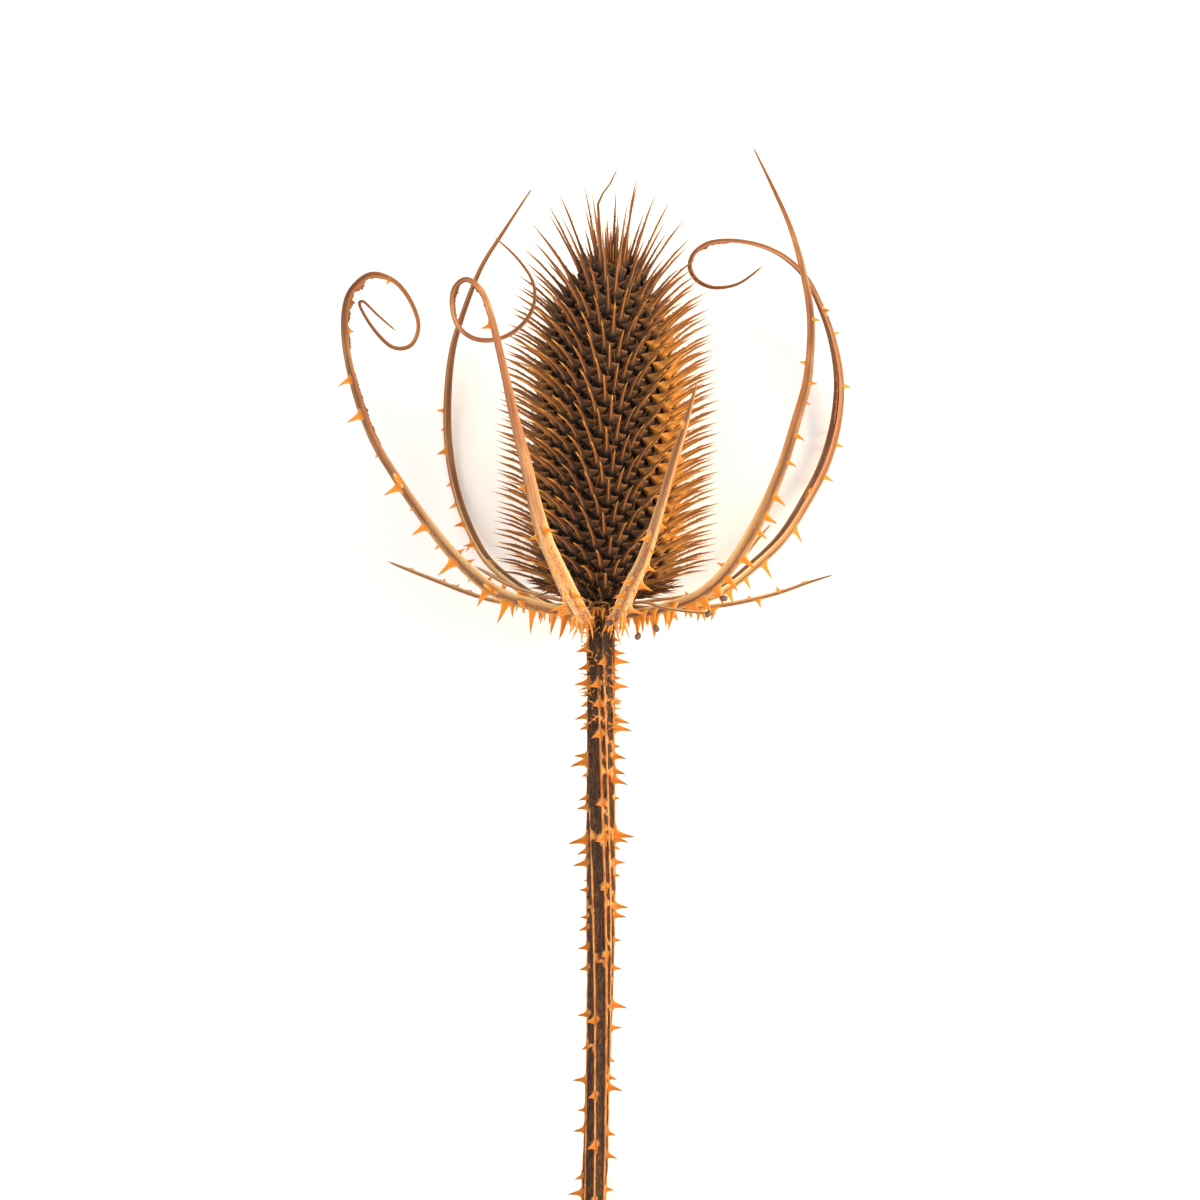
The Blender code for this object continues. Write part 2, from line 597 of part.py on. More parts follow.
def bract_ring(station, total, depth):
    """Hollow inner face, two margins and a keel outside; nearly round towards the tip."""
    place, breadth, along, inner, distance = station
    across = along.cross(inner)
    slender = min(1.0, distance / (SLENDER_AT * total))
    deep = breadth * (depth + (SLENDER_DEPTH - depth) * slender)
    dish = DISH[0] + (DISH[1] - DISH[0]) * slender
    ring = []
    for x, y in BRACT_OUTLINE:
        inwards = dish if y is None else y
        ring.append(place + across * breadth * x + inner * deep * inwards)
    return ring


def station_at(stations, distance):
    """The station at a distance along the bract, read straight between its neighbours."""
    for low, high in zip(stations, stations[1:]):
        if distance <= high[4]:
            break
    part = (distance - low[4]) / (high[4] - low[4])
    return [here + (there - here) * part for here, there in zip(low, high)]


def bract_prickle(stations, depth, distance, side, length):
    """A prickle on the keel or on one margin, at a distance along the bract."""
    place, breadth, along, inner, _ = station_at(stations, distance)
    across = along.cross(inner)
    sideways, inwards = PRICKLE_WAYS[side]
    out = (across * sideways + inner * inwards).normalized()
    to_margin, to_keel = PRICKLE_REACH
    reach = breadth * (to_margin * abs(sideways) + to_keel * depth * max(0.0, -inwards))
    return thorn(place + out * reach, out, along, length)


def build_bract(name, home, helpers):
    row = BRACTS[name]
    stations = stations_of(row["route"])
    total = stations[-1][4]
    rings = [bract_ring(station, total, row["depth"]) for station in stations[:-1]]
    body = loft(rings + [[stations[-1][0]]])
    growths = [
        bract_prickle(stations, row["depth"], *prickle) for prickle in row["prickles"]
    ]
    return fuse(name, body, growths, home, helpers)


def lay_down(objects):
    """Turns the plant to how it rests, with the middle of its box over zero and its foot on it."""
    turn = Matrix.Rotation(math.radians(REST_ROLL), 4, "Y")
    turn = turn @ Matrix.Rotation(math.radians(REST_PITCH), 4, "X")
    for obj in objects:
        obj.data.transform(turn)
    corners = [vert.co for obj in objects for vert in obj.data.vertices]
    low = Vector([min(corner[axis] for corner in corners) for axis in range(3)])
    high = Vector([max(corner[axis] for corner in corners) for axis in range(3)])
    shift = Vector((-(low.x + high.x) / 2, -(low.y + high.y) / 2, -low.z))
    for obj in objects:
        obj.data.transform(Matrix.Translation(shift))


def main():
    for obj in list(bpy.data.objects):
        bpy.data.objects.remove(obj)
    home = bpy.data.collections.new("teasel_seed_head")
    helpers = bpy.data.collections.new("helpers")
    helpers.hide_render = True
    bpy.context.scene.collection.children.link(home)
    bpy.context.scene.collection.children.link(helpers)
    objects = [build_stem(home, helpers), build_head(home, helpers)]
    objects += [build_bract(name, home, helpers) for name in BRACTS]
    lay_down(objects)


main()
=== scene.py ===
import math
import random

import bmesh
import bpy
from mathutils import Matrix, Vector, noise
from mathutils.bvhtree import BVHTree


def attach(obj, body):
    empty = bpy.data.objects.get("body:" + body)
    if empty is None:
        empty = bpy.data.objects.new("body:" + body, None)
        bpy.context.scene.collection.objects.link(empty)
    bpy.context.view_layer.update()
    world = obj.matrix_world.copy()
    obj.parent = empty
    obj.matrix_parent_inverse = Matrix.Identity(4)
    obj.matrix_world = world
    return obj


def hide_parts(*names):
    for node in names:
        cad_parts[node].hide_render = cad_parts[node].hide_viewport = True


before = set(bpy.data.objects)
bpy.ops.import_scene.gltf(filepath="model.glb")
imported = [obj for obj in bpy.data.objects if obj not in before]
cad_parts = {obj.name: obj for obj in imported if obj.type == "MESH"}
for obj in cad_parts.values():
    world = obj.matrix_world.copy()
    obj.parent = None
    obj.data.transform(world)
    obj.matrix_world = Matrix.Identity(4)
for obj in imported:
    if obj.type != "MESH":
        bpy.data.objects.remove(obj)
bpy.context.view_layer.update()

# A dried teasel head on its cut stem. Shapes are worked out in millimetres in the plant's own
# frame (x right, y up the stem, z to the front) and laid on the floor at the end.

lie = {
    "pitch": 9.78,               # degrees about x, then roll about y
    "roll": -0.9,
    "highestTip": (3.6, 87.4, 4.6),   # the kinked awn's point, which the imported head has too
}
turn = Matrix.Rotation(math.radians(lie["roll"]), 4, "Y")
turn = turn @ Matrix.Rotation(math.radians(lie["pitch"]), 4, "X")
packedTip = max(
    (v.co.copy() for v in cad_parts["seed_head"].data.vertices),
    key=lambda p: (turn.inverted() @ p).y,
)
shift = packedTip - turn @ (Vector(lie["highestTip"]) * 0.001)
toFloor = Matrix.Translation(shift) @ turn @ Matrix.Scale(0.001, 4)


# ---- small helpers

def rgb(red, green, blue):
    # a screen colour, 0 to 255, as the linear colour that sockets take
    parts = [c / 255 for c in (red, green, blue)]
    linear = [c / 12.92 if c < 0.04045 else ((c + 0.055) / 1.055) ** 2.4 for c in parts]
    return (*linear, 1.0)


def between(table, at):
    if at <= table[0][0]:
        return table[0][1]
    for (low, first), (high, second) in zip(table, table[1:]):
        if at <= high:
            return first + (second - first) * (at - low) / (high - low)
    return table[-1][1]


def bearing(angle):
    # level direction at an angle from the front, turning to the right
    return Vector((math.sin(math.radians(angle)), 0.0, math.cos(math.radians(angle))))


def newShape():
    # grain: place on the straightened piece; edge: rim or ridge, on scales and prickles a painted highlight; tip: way
    # to a point; tone: own shade, and on bracts and scales also painted light and shade
    bm = bmesh.new()
    bm.verts.layers.float_vector.new("grain")
    for name in ("edge", "tip", "tone"):
        bm.verts.layers.float.new(name)
    return bm


def markVert(bm, vert, grain=None, **values):
    if grain is not None:
        vert[bm.verts.layers.float_vector["grain"]] = grain
    for name, value in values.items():
        vert[bm.verts.layers.float[name]] = value


def growBody(bm, rings):
    # rings of (place, grain, edge, tone); each is extruded from the last, and one point closes the tip
    tip = rings[-1][0][0] if len(rings[-1]) == 1 else None
    ring = bmesh.ops.create_circle(bm, cap_ends=True, segments=len(rings[0]), radius=1.0)["verts"]
    face = ring[0].link_faces[0]
    for index, points in enumerate(rings):
        if index:
            grown = bmesh.ops.extrude_face_region(bm, geom=[face])["geom"]
            if index > 1:
                bmesh.ops.delete(bm, geom=[face], context="FACES_ONLY")
            face = next(item for item in grown if isinstance(item, bmesh.types.BMFace))
            fresh = [item for item in grown if isinstance(item, bmesh.types.BMVert)]
            ring = [min(fresh, key=lambda v, old=old: (v.co - old.co).length) for old in ring]
        if tip is None or points is not rings[-1]:
            for vert, (place, grain, edge, tone) in zip(ring, points):
                vert.co = place
                markVert(bm, vert, grain, edge=edge, tone=tone)
    if tip is not None:
        bmesh.ops.pointmerge(bm, verts=ring, merge_co=tip)


def addCopy(bm, shape, place):
    # appends a copy of a template mesh and moves its vertices by place(co) -> (co, marks)
    first = len(bm.verts)
    bm.from_mesh(shape)
    for vert in bm.verts[first:]:
        vert.co, marks = place(vert.co.copy())
        markVert(bm, vert, **marks)


def finishPiece(name, bm, material, nodes, sharp=44):
    bmesh.ops.recalc_face_normals(bm, faces=bm.faces)
    bmesh.ops.transform(bm, matrix=toFloor, verts=bm.verts)
    mesh = bpy.data.meshes.new(name)
    bm.to_mesh(mesh)
    bm.free()
    mesh.shade_smooth()
    mesh.set_sharp_from_angle(angle=math.radians(sharp))
    mesh.materials.append(material)
    piece = bpy.data.objects.new(name, mesh)
    bpy.context.scene.collection.objects.link(piece)
    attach(piece, "root")
    if nodes:
        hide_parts(*nodes)
    print(name, len(mesh.polygons), "faces")
    return piece


# ---- shader groups and materials

def addNode(tree, kind, **settings):
    node = tree.nodes.new(kind)
    for key, value in settings.items():
        setattr(node, key, value)
    return node


def setInputs(node, **values):
    for key, value in values.items():
        node.inputs[key].default_value = value
    return node


def newGroup(name, inputs, outputs):
    group = bpy.data.node_groups.new(name, "ShaderNodeTree")
    for label, kind, default in inputs:
        socket = group.interface.new_socket(name=label, in_out="INPUT", socket_type=kind)
        if default is not None:
            socket.default_value = default
    for label, kind in outputs:
        group.interface.new_socket(name=label, in_out="OUTPUT", socket_type=kind)
    return group, group.nodes.new("NodeGroupInput"), group.nodes.new("NodeGroupOutput")


def ramp(tree, source, stops):
    node = tree.nodes.new("ShaderNodeValToRGB")
    while len(node.color_ramp.elements) < len(stops):
        node.color_ramp.elements.new(0.5)
    for element, (at, colour) in zip(node.color_ramp.elements, stops):
        element.position = at
        element.color = colour if len(colour) == 4 else (*colour, 1.0)
    tree.links.new(source, node.inputs["Fac"])
    return node.outputs["Color"]


def grey(value):
    return (value, value, value, 1.0)


def mixColour(tree, amount, first, second, mode="MIX"):
    node = tree.nodes.new("ShaderNodeMix")
    node.data_type = "RGBA"
    node.blend_type = mode
    for socket, value in ((node.inputs[0], amount), (node.inputs[6], first), (node.inputs[7], second)):
        if isinstance(value, bpy.types.NodeSocket):
            tree.links.new(value, socket)
        else:
            socket.default_value = value
    return node.outputs[2]


def mathNode(tree, operation, first, second=0.5, clamp=False):
    node = tree.nodes.new("ShaderNodeMath")
    node.operation = operation
    node.use_clamp = clamp
    for socket, value in ((node.inputs[0], first), (node.inputs[1], second)):
        if isinstance(value, bpy.types.NodeSocket):
            tree.links.new(value, socket)
        else:
            socket.default_value = value
    return node.outputs[0]


# lengthwise fibres: streaks that run along the piece, and the fine relief that goes with them
fibres, groupIn, groupOut = newGroup(
    "lengthwise fibres",
    [("Place", "NodeSocketVector", None), ("Scale", "NodeSocketFloat", 3.0),
     ("Stretch", "NodeSocketFloat", 0.1)],
    [("Streak", "NodeSocketFloat"), ("Relief", "NodeSocketFloat")],
)
squeeze = addNode(fibres, "ShaderNodeCombineXYZ")
setInputs(squeeze, X=1.0, Y=1.0)
fibres.links.new(groupIn.outputs["Stretch"], squeeze.inputs["Z"])
drawn = addNode(fibres, "ShaderNodeVectorMath", operation="MULTIPLY")
fibres.links.new(groupIn.outputs["Place"], drawn.inputs[0])
fibres.links.new(squeeze.outputs[0], drawn.inputs[1])
broad = setInputs(addNode(fibres, "ShaderNodeTexNoise"), Detail=4.0, Roughness=0.6)
fibres.links.new(drawn.outputs[0], broad.inputs["Vector"])
fibres.links.new(groupIn.outputs["Scale"], broad.inputs["Scale"])
fine = setInputs(addNode(fibres, "ShaderNodeTexNoise"), Detail=5.0, Roughness=0.7)
fibres.links.new(drawn.outputs[0], fine.inputs["Vector"])
fibres.links.new(mathNode(fibres, "MULTIPLY", groupIn.outputs["Scale"], 3.2), fine.inputs["Scale"])
fibres.links.new(ramp(fibres, broad.outputs[0], [(0.36, grey(0)), (0.66, grey(1))]),
                 groupOut.inputs["Streak"])
fibres.links.new(fine.outputs[0], groupOut.inputs["Relief"])

# specks: small dark spots of uneven size, a little longer than wide
specks, groupIn, groupOut = newGroup(
    "specks",
    [("Place", "NodeSocketVector", None), ("Scale", "NodeSocketFloat", 2.0),
     ("Cover", "NodeSocketFloat", 0.4)],
    [("Mask", "NodeSocketFloat")],
)
longer = addNode(specks, "ShaderNodeVectorMath", operation="MULTIPLY")
longer.inputs[1].default_value = (1.0, 1.0, 0.6)
specks.links.new(groupIn.outputs["Place"], longer.inputs[0])
grains = setInputs(addNode(specks, "ShaderNodeTexNoise"), Detail=2.0, Roughness=0.6)
specks.links.new(longer.outputs[0], grains.inputs["Vector"])
specks.links.new(groupIn.outputs["Scale"], grains.inputs["Scale"])
spotted = mathNode(specks, "ADD", grains.outputs[0], groupIn.outputs["Cover"])
specks.links.new(ramp(specks, spotted, [(0.94, grey(0)), (0.99, grey(1))]), groupOut.inputs["Mask"])


def placeGroup(tree, group, place, **values):
    node = tree.nodes.new("ShaderNodeGroup")
    node.node_tree = group
    tree.links.new(place, node.inputs["Place"])
    return setInputs(node, **values)


def attribute(tree, name):
    return addNode(tree, "ShaderNodeAttribute", attribute_name=name)


def newMaterial(name, roughness, glow, specular=0.4):
    material = bpy.data.materials.new(name)
    material.use_nodes = True
    tree = material.node_tree
    shader = tree.nodes["Principled BSDF"]
    shader.inputs["Roughness"].default_value = roughness
    shader.inputs["Specular IOR Level"].default_value = specular
    shader.inputs["Subsurface Weight"].default_value = glow
    shader.inputs["Subsurface Radius"].default_value = (1.0, 0.42, 0.12)
    shader.inputs["Subsurface Scale"].default_value = 0.0016
    return material, tree, shader


def addRelief(tree, shader, height, strength, distance=0.0002):
    bump = setInputs(addNode(tree, "ShaderNodeBump"), Strength=strength, Distance=distance)
    tree.links.new(height, bump.inputs["Height"])
    tree.links.new(bump.outputs[0], shader.inputs["Normal"])


bractLook = {
    "base": (190, 116, 58),      # along the bract, from its base to its curl
    "lower": (148, 88, 46),
    "upper": (120, 70, 38),
    "curl": (122, 74, 46),
    "reach": 120.0,              # mm along the bract that these four share
    "cream": (232, 166, 104),
    "pale": (242, 192, 128),
    "shade": (138, 80, 44),
    "line": (86, 48, 28),
    "flank": (86, 54, 34),
    "rim": (246, 206, 142),
    "rimFar": (190, 114, 54),
    "speck": (116, 58, 36),
    "prickle": (212, 120, 8),
    "prickleRim": (252, 204, 112),
    "prickleTip": (158, 82, 26),
}


def makeBractSkin():
    look = {key: rgb(*value) for key, value in bractLook.items() if key != "reach"}
    material, tree, shader = newMaterial("dry bract", 0.52, 0.10, 0.3)
    place = attribute(tree, "grain").outputs["Vector"]
    edge = attribute(tree, "edge").outputs["Fac"]
    tip = attribute(tree, "tip").outputs["Fac"]
    parts = addNode(tree, "ShaderNodeSeparateXYZ")
    tree.links.new(place, parts.inputs[0])
    far = mathNode(tree, "DIVIDE", parts.outputs["Z"], bractLook["reach"], clamp=True)
    colour = ramp(tree, far, [(0.0, look["base"]), (0.16, look["base"]), (0.34, look["lower"]),
                              (0.62, look["upper"]), (0.9, look["curl"])])
    grain = placeGroup(tree, fibres, place, Scale=1.3, Stretch=0.10)
    dull = mathNode(tree, "SUBTRACT", 0.75, mathNode(tree, "MULTIPLY", grain.outputs["Streak"], 0.75))
    dull = mathNode(tree, "MULTIPLY", dull, mathNode(tree, "ADD", far, 0.45, clamp=True))
    colour = mixColour(tree, dull, colour, look["shade"])
    paleGrain = placeGroup(tree, fibres, place, Scale=2.1, Stretch=0.05)
    pale = mathNode(tree, "MULTIPLY", paleGrain.outputs["Streak"], 0.5)
    colour = mixColour(tree, mathNode(tree, "MULTIPLY", pale, mathNode(tree, "SUBTRACT", 1.0, far)),
                       colour, look["pale"])
    lines = placeGroup(tree, fibres, place, Scale=2.2, Stretch=0.03)
    lines = mathNode(tree, "SUBTRACT", 0.62, mathNode(tree, "MULTIPLY", lines.outputs["Streak"], 0.62))
    colour = mixColour(tree, lines, colour, look["line"])
    patches = placeGroup(tree, fibres, place, Scale=0.6, Stretch=0.16)
    bleachAndGlow = mathNode(tree, "MULTIPLY", mathNode(tree, "POWER", patches.outputs["Streak"], 3.0), 0.4)
    colour = mixColour(tree, bleachAndGlow, colour, look["pale"])
    # tone above 0 is painted shade, a dull flank; below 0 a creamy face, the paler base with painted light on the
    # front bracts
    tone = attribute(tree, "tone").outputs["Fac"]
    creamy = mathNode(tree, "MULTIPLY", tone, -1.0, clamp=True)
    colour = mixColour(tree, creamy, colour, look["cream"])
    flank = mathNode(tree, "MULTIPLY", tone, mathNode(tree, "ADD", lines, 0.55), clamp=True)
    colour = mixColour(tree, flank, colour, look["flank"])
    cover = mathNode(tree, "SUBTRACT", 0.465, mathNode(tree, "MULTIPLY", far, 0.34))
    spots = placeGroup(tree, specks, place, Scale=2.4)
    tree.links.new(cover, spots.inputs["Cover"])
    colour = mixColour(tree, mathNode(tree, "MULTIPLY", spots.outputs["Mask"], 0.75), colour, look["speck"])
    # the margins are paler, partly their own colour and partly a painted highlight
    rim = ramp(tree, far, [(0.0, look["rim"]), (0.25, look["rim"]), (0.5, look["rimFar"])])
    colour = mixColour(tree, mathNode(tree, "MULTIPLY", edge, 0.8), colour, rim)
    thorn = ramp(tree, tip, [(0.0, look["prickle"]), (0.6, look["prickle"]), (1.0, look["prickleTip"])])
    # painted highlight: pale prickle edges
    thorn = mixColour(tree, mathNode(tree, "MULTIPLY", edge, 0.45), thorn, look["prickleRim"])
    colour = mixColour(tree, mathNode(tree, "MULTIPLY", tip, 5.0, clamp=True), colour, thorn)
    tree.links.new(colour, shader.inputs["Base Color"])
    rough = ramp(tree, grain.outputs["Relief"], [(0.3, grey(0.42)), (0.7, grey(0.66))])
    tree.links.new(rough, shader.inputs["Roughness"])
    addRelief(tree, shader, grain.outputs["Relief"], 0.5)
    return material


stemLook = {
    "panel": (96, 62, 36),
    "panelDark": (38, 24, 14),
    "ridge": (160, 89, 35),
    "ridgePale": (214, 150, 84),
    "topDark": (30, 26, 22),
    "prickle": (186, 100, 12),
    "prickleRim": (246, 200, 124),
    "prickleTip": (132, 66, 22),
}


def makeStemSkin():
    look = {key: rgb(*value) for key, value in stemLook.items()}
    material, tree, shader = newMaterial("dry stem", 0.66, 0.04, 0.2)
    place = attribute(tree, "grain").outputs["Vector"]
    edge = attribute(tree, "edge").outputs["Fac"]
    tip = attribute(tree, "tip").outputs["Fac"]
    tone = attribute(tree, "tone").outputs["Fac"]
    grain = placeGroup(tree, fibres, place, Scale=2.4, Stretch=0.16)
    colour = mixColour(tree, grain.outputs["Streak"], look["panelDark"], look["panel"])
    spots = placeGroup(tree, specks, place, Scale=2.4, Cover=0.42)
    colour = mixColour(tree, mathNode(tree, "MULTIPLY", spots.outputs["Mask"], 0.85), colour, look["panelDark"])
    patches = placeGroup(tree, fibres, place, Scale=0.8, Stretch=0.5)
    ridge = mixColour(tree, patches.outputs["Streak"], look["ridge"], look["ridgePale"])
    rim = ramp(tree, edge, [(0.4, grey(0)), (0.8, grey(1))])
    colour = mixColour(tree, rim, colour, ridge)
    # the upper end, under the bracts, is darker and blotched
    mottle = placeGroup(tree, fibres, place, Scale=1.7, Stretch=0.7)
    blotch = mathNode(tree, "MULTIPLY", tone, mathNode(tree, "ADD", mottle.outputs["Streak"], 0.3, clamp=True))
    colour = mixColour(tree, blotch, colour, look["topDark"])
    thorn = ramp(tree, tip, [(0.0, look["prickle"]), (0.5, look["prickle"]), (1.0, look["prickleTip"])])
    # painted highlight: pale prickle edges
    thorn = mixColour(tree, mathNode(tree, "MULTIPLY", edge, 0.5), thorn, look["prickleRim"])
    colour = mixColour(tree, mathNode(tree, "MULTIPLY", tip, 6.0, clamp=True), colour, thorn)
    tree.links.new(colour, shader.inputs["Base Color"])
    addRelief(tree, shader, grain.outputs["Relief"], 0.6)
    return material


scaleLook = {
    "pit": (20, 13, 8),
    "base": (50, 33, 21),
    "rim": (226, 144, 74),
    "shaft": (92, 58, 32),
    "upper": (146, 90, 44),
    "point": (255, 182, 70),
    "grey": (66, 50, 34),
    "paintedGlow": (232, 156, 54),
}


def makeScaleSkin():
    look = {key: rgb(*value) for key, value in scaleLook.items()}
    material, tree, shader = newMaterial("dry scale", 0.66, 0.05, 0.25)
    place = attribute(tree, "grain").outputs["Vector"]
    tip = attribute(tree, "tip").outputs["Fac"]
    tone = attribute(tree, "tone").outputs["Fac"]
    edge = attribute(tree, "edge").outputs["Fac"]
    # painted shade: the foot of each scale, down on the core, is near black for the shade in the pits, and the body
    # darkens towards it
    colour = ramp(tree, tip, [(0.0, look["pit"]), (0.185, look["pit"]), (0.255, look["base"]),
                              (0.40, look["shaft"]), (0.74, look["upper"]), (0.90, look["point"])])
    grain = placeGroup(tree, fibres, place, Scale=1.8, Stretch=0.4)
    dusty = mathNode(tree, "MULTIPLY", grain.outputs["Streak"], 0.5)
    colour = mixColour(tree, dusty, colour, look["grey"])
    # painted highlight: marked edges take the pale rim colour
    keen = mathNode(tree, "MULTIPLY", mathNode(tree, "POWER", edge, 2.2), 0.85)
    colour = mixColour(tree, keen, colour, look["rim"])
    # tone runs from withered at 0 to fresh at 1, and on to 2 where painted light makes the head's right side glow
    # pale orange, as if lit through from the right
    own = ramp(tree, mathNode(tree, "MULTIPLY", tone, 0.5),
               [(0.0, grey(0.22)), (0.1, grey(0.75)), (0.5, grey(1.15)), (1.0, grey(1.3))])
    colour = mixColour(tree, 1.0, colour, own, "MULTIPLY")
    bleachAndGlow = mathNode(tree, "SUBTRACT", tone, 1.0, clamp=True)
    above = ramp(tree, tip, [(0.12, grey(0)), (0.24, grey(1)), (0.36, grey(1)), (0.5, grey(0.3)), (0.8, grey(0.12))])
    bleachAndGlow = mathNode(tree, "MULTIPLY", bleachAndGlow, above)
    colour = mixColour(tree, mathNode(tree, "MULTIPLY", bleachAndGlow, 0.75), colour, look["paintedGlow"])
    tree.links.new(colour, shader.inputs["Base Color"])
    addRelief(tree, shader, grain.outputs["Relief"], 0.5)
    return material


def makeCoreSkin():
    material, tree, shader = newMaterial("receptacle", 0.85, 0.05, 0.2)
    place = attribute(tree, "grain").outputs["Vector"]
    grain = placeGroup(tree, fibres, place, Scale=0.9, Stretch=1.0)
    # painted shade: near-black brown, for the shade in the pits between the scales
    colour = mixColour(tree, grain.outputs["Streak"], rgb(22, 14, 9), rgb(52, 33, 20))
    tree.links.new(colour, shader.inputs["Base Color"])
    addRelief(tree, shader, grain.outputs["Relief"], 0.8)
    return material


def makeSeedSkin():
    material, tree, shader = newMaterial("seed", 0.7, 0.0)
    place = attribute(tree, "grain").outputs["Vector"]
    grain = placeGroup(tree, fibres, place, Scale=3.0, Stretch=0.3)
    colour = mixColour(tree, grain.outputs["Streak"], rgb(62, 46, 36), rgb(140, 112, 92))
    tree.links.new(colour, shader.inputs["Base Color"])
    addRelief(tree, shader, grain.outputs["Relief"], 0.6)
    return material


bractSkin = makeBractSkin()
stemSkin = makeStemSkin()
scaleSkin = makeScaleSkin()
coreSkin = makeCoreSkin()
seedSkin = makeSeedSkin()
print("materials ready")


# ---- prickles

prickleShape = {
    "sides": 8,
    "flare": [(-0.10, 1.25), (0.0, 1.0), (0.07, 0.64), (0.18, 0.42), (0.38, 0.28), (0.68, 0.16)],
}
daggerShape = {
    "sides": 8,
    "flare": [(-0.12, 1.2), (0.0, 1.0), (0.12, 0.74), (0.36, 0.50), (0.68, 0.27)],
}


def makePrickleTemplate(sides, flare):
    bm = bmesh.new()
    ring = bmesh.ops.create_circle(bm, cap_ends=True, segments=sides, radius=flare[0][1])["verts"]
    face = ring[0].link_faces[0]
    bmesh.ops.translate(bm, vec=(0, 0, flare[0][0]), verts=ring)
    for (height, size), (nextHeight, nextSize) in zip(flare, flare[1:] + [(1.0, 0.0)]):
        grown = bmesh.ops.extrude_face_region(bm, geom=[face])["geom"]
        if height != flare[0][0]:
            bmesh.ops.delete(bm, geom=[face], context="FACES_ONLY")
        face = next(item for item in grown if isinstance(item, bmesh.types.BMFace))
        verts = face.verts[:]
        if nextSize:
            bmesh.ops.translate(bm, vec=(0, 0, nextHeight - height), verts=verts)
            bmesh.ops.scale(bm, vec=(nextSize / size, nextSize / size, 1), verts=verts)
        else:
            bmesh.ops.pointmerge(bm, verts=verts, merge_co=(0, 0, 1))
    bmesh.ops.recalc_face_normals(bm, faces=bm.faces)
    mesh = bpy.data.meshes.new("prickle template")
    bm.to_mesh(mesh)
    bm.free()
    return mesh


prickleTemplate = makePrickleTemplate(**prickleShape)
daggerTemplate = makePrickleTemplate(**daggerShape)
hairTemplate = makePrickleTemplate(4, [(-0.05, 1.1), (0.12, 0.8), (0.4, 0.55), (0.72, 0.32)])


def addPrickle(bm, root, out, along, length, halfLong, halfWide, bend=(0.0, 0.0), template=None, tone=0.5):
    # a point with a drawn-out foot; bend pushes its end along and across, in parts of its length
    out = out.normalized()
    along = (along - along.dot(out) * out).normalized()
    across = along.cross(out)

    def place(co):
        reach = max(co.z, 0.0)
        sway = reach * reach * length
        spot = root + out * co.z * length
        spot += along * (co.y * halfLong + sway * bend[0])
        spot += across * (co.x * halfWide + sway * bend[1])
        # painted highlight: the two keen edges, up and down the prickle, are paler, as rims of light
        girth = math.hypot(co.x, co.y)
        keen = abs(co.y) / girth if girth > 0.01 else 0.5
        edge = max(0.0, keen - 0.6) / 0.4
        return spot, {"grain": co * 2, "tip": 0.12 + 0.88 * reach, "edge": edge, "tone": tone}

    addCopy(bm, template or prickleTemplate, place)


# ---- stem

stemShape = {
    "stations": [           # height, half thickness, sideways lean
        (-127.0, 2.60, -1.5), (-117.0, 2.60, -1.2), (-107.0, 2.60, -0.8), (-95.0, 2.65, -0.5),
        (-82.0, 2.70, -0.1), (-70.0, 2.85, 0.1), (-58.0, 2.95, 0.2), (-45.0, 3.00, 0.2),
        (-32.0, 3.00, 0.2), (-19.0, 3.00, 0.2), (-8.0, 2.95, 0.1), (0.9, 2.75, 0.0),
    ],
    "step": 0.6,
    "ridges": [-88, -37, 18, 44, 88, 135, 180, 225],
    "ridgeHeight": -59.0,   # the ridges stand at those bearings here, and twist up the stem
    "twist": 0.68,
    "groove": 0.55,
    "crestHalf": 3.2,       # degrees
    "faint": {-88: [(-50.0, 0.9), (-40.0, 0.62)], -37: [(-54.0, 0.95), (-44.0, 0.35)],
              18: [(-30.0, 1.0), (-16.0, 0.6)]},
    "wobble": 0.06,
    "bridgeReach": (0.8, 15.0, 5.0),   # mm up the stem, and degrees round it with more per mm of length
    "frontTurn": -48.0,     # prickles that face the front point this far to one side
    "fadeAbove": (-20.0, -3.0),        # the stem darkens here, under the bracts
    "hairs": 190,
    "hairZone": (-1.5, -25.0),
    # rings across the cut end, from the pith out: part of the thickness, mm sunk, paleness
    "cut": [(0.25, 0.9, 0.95), (0.5, 0.7, 0.8), (0.62, 0.15, 0.55), (0.9, 0.0, 0.5)],
}
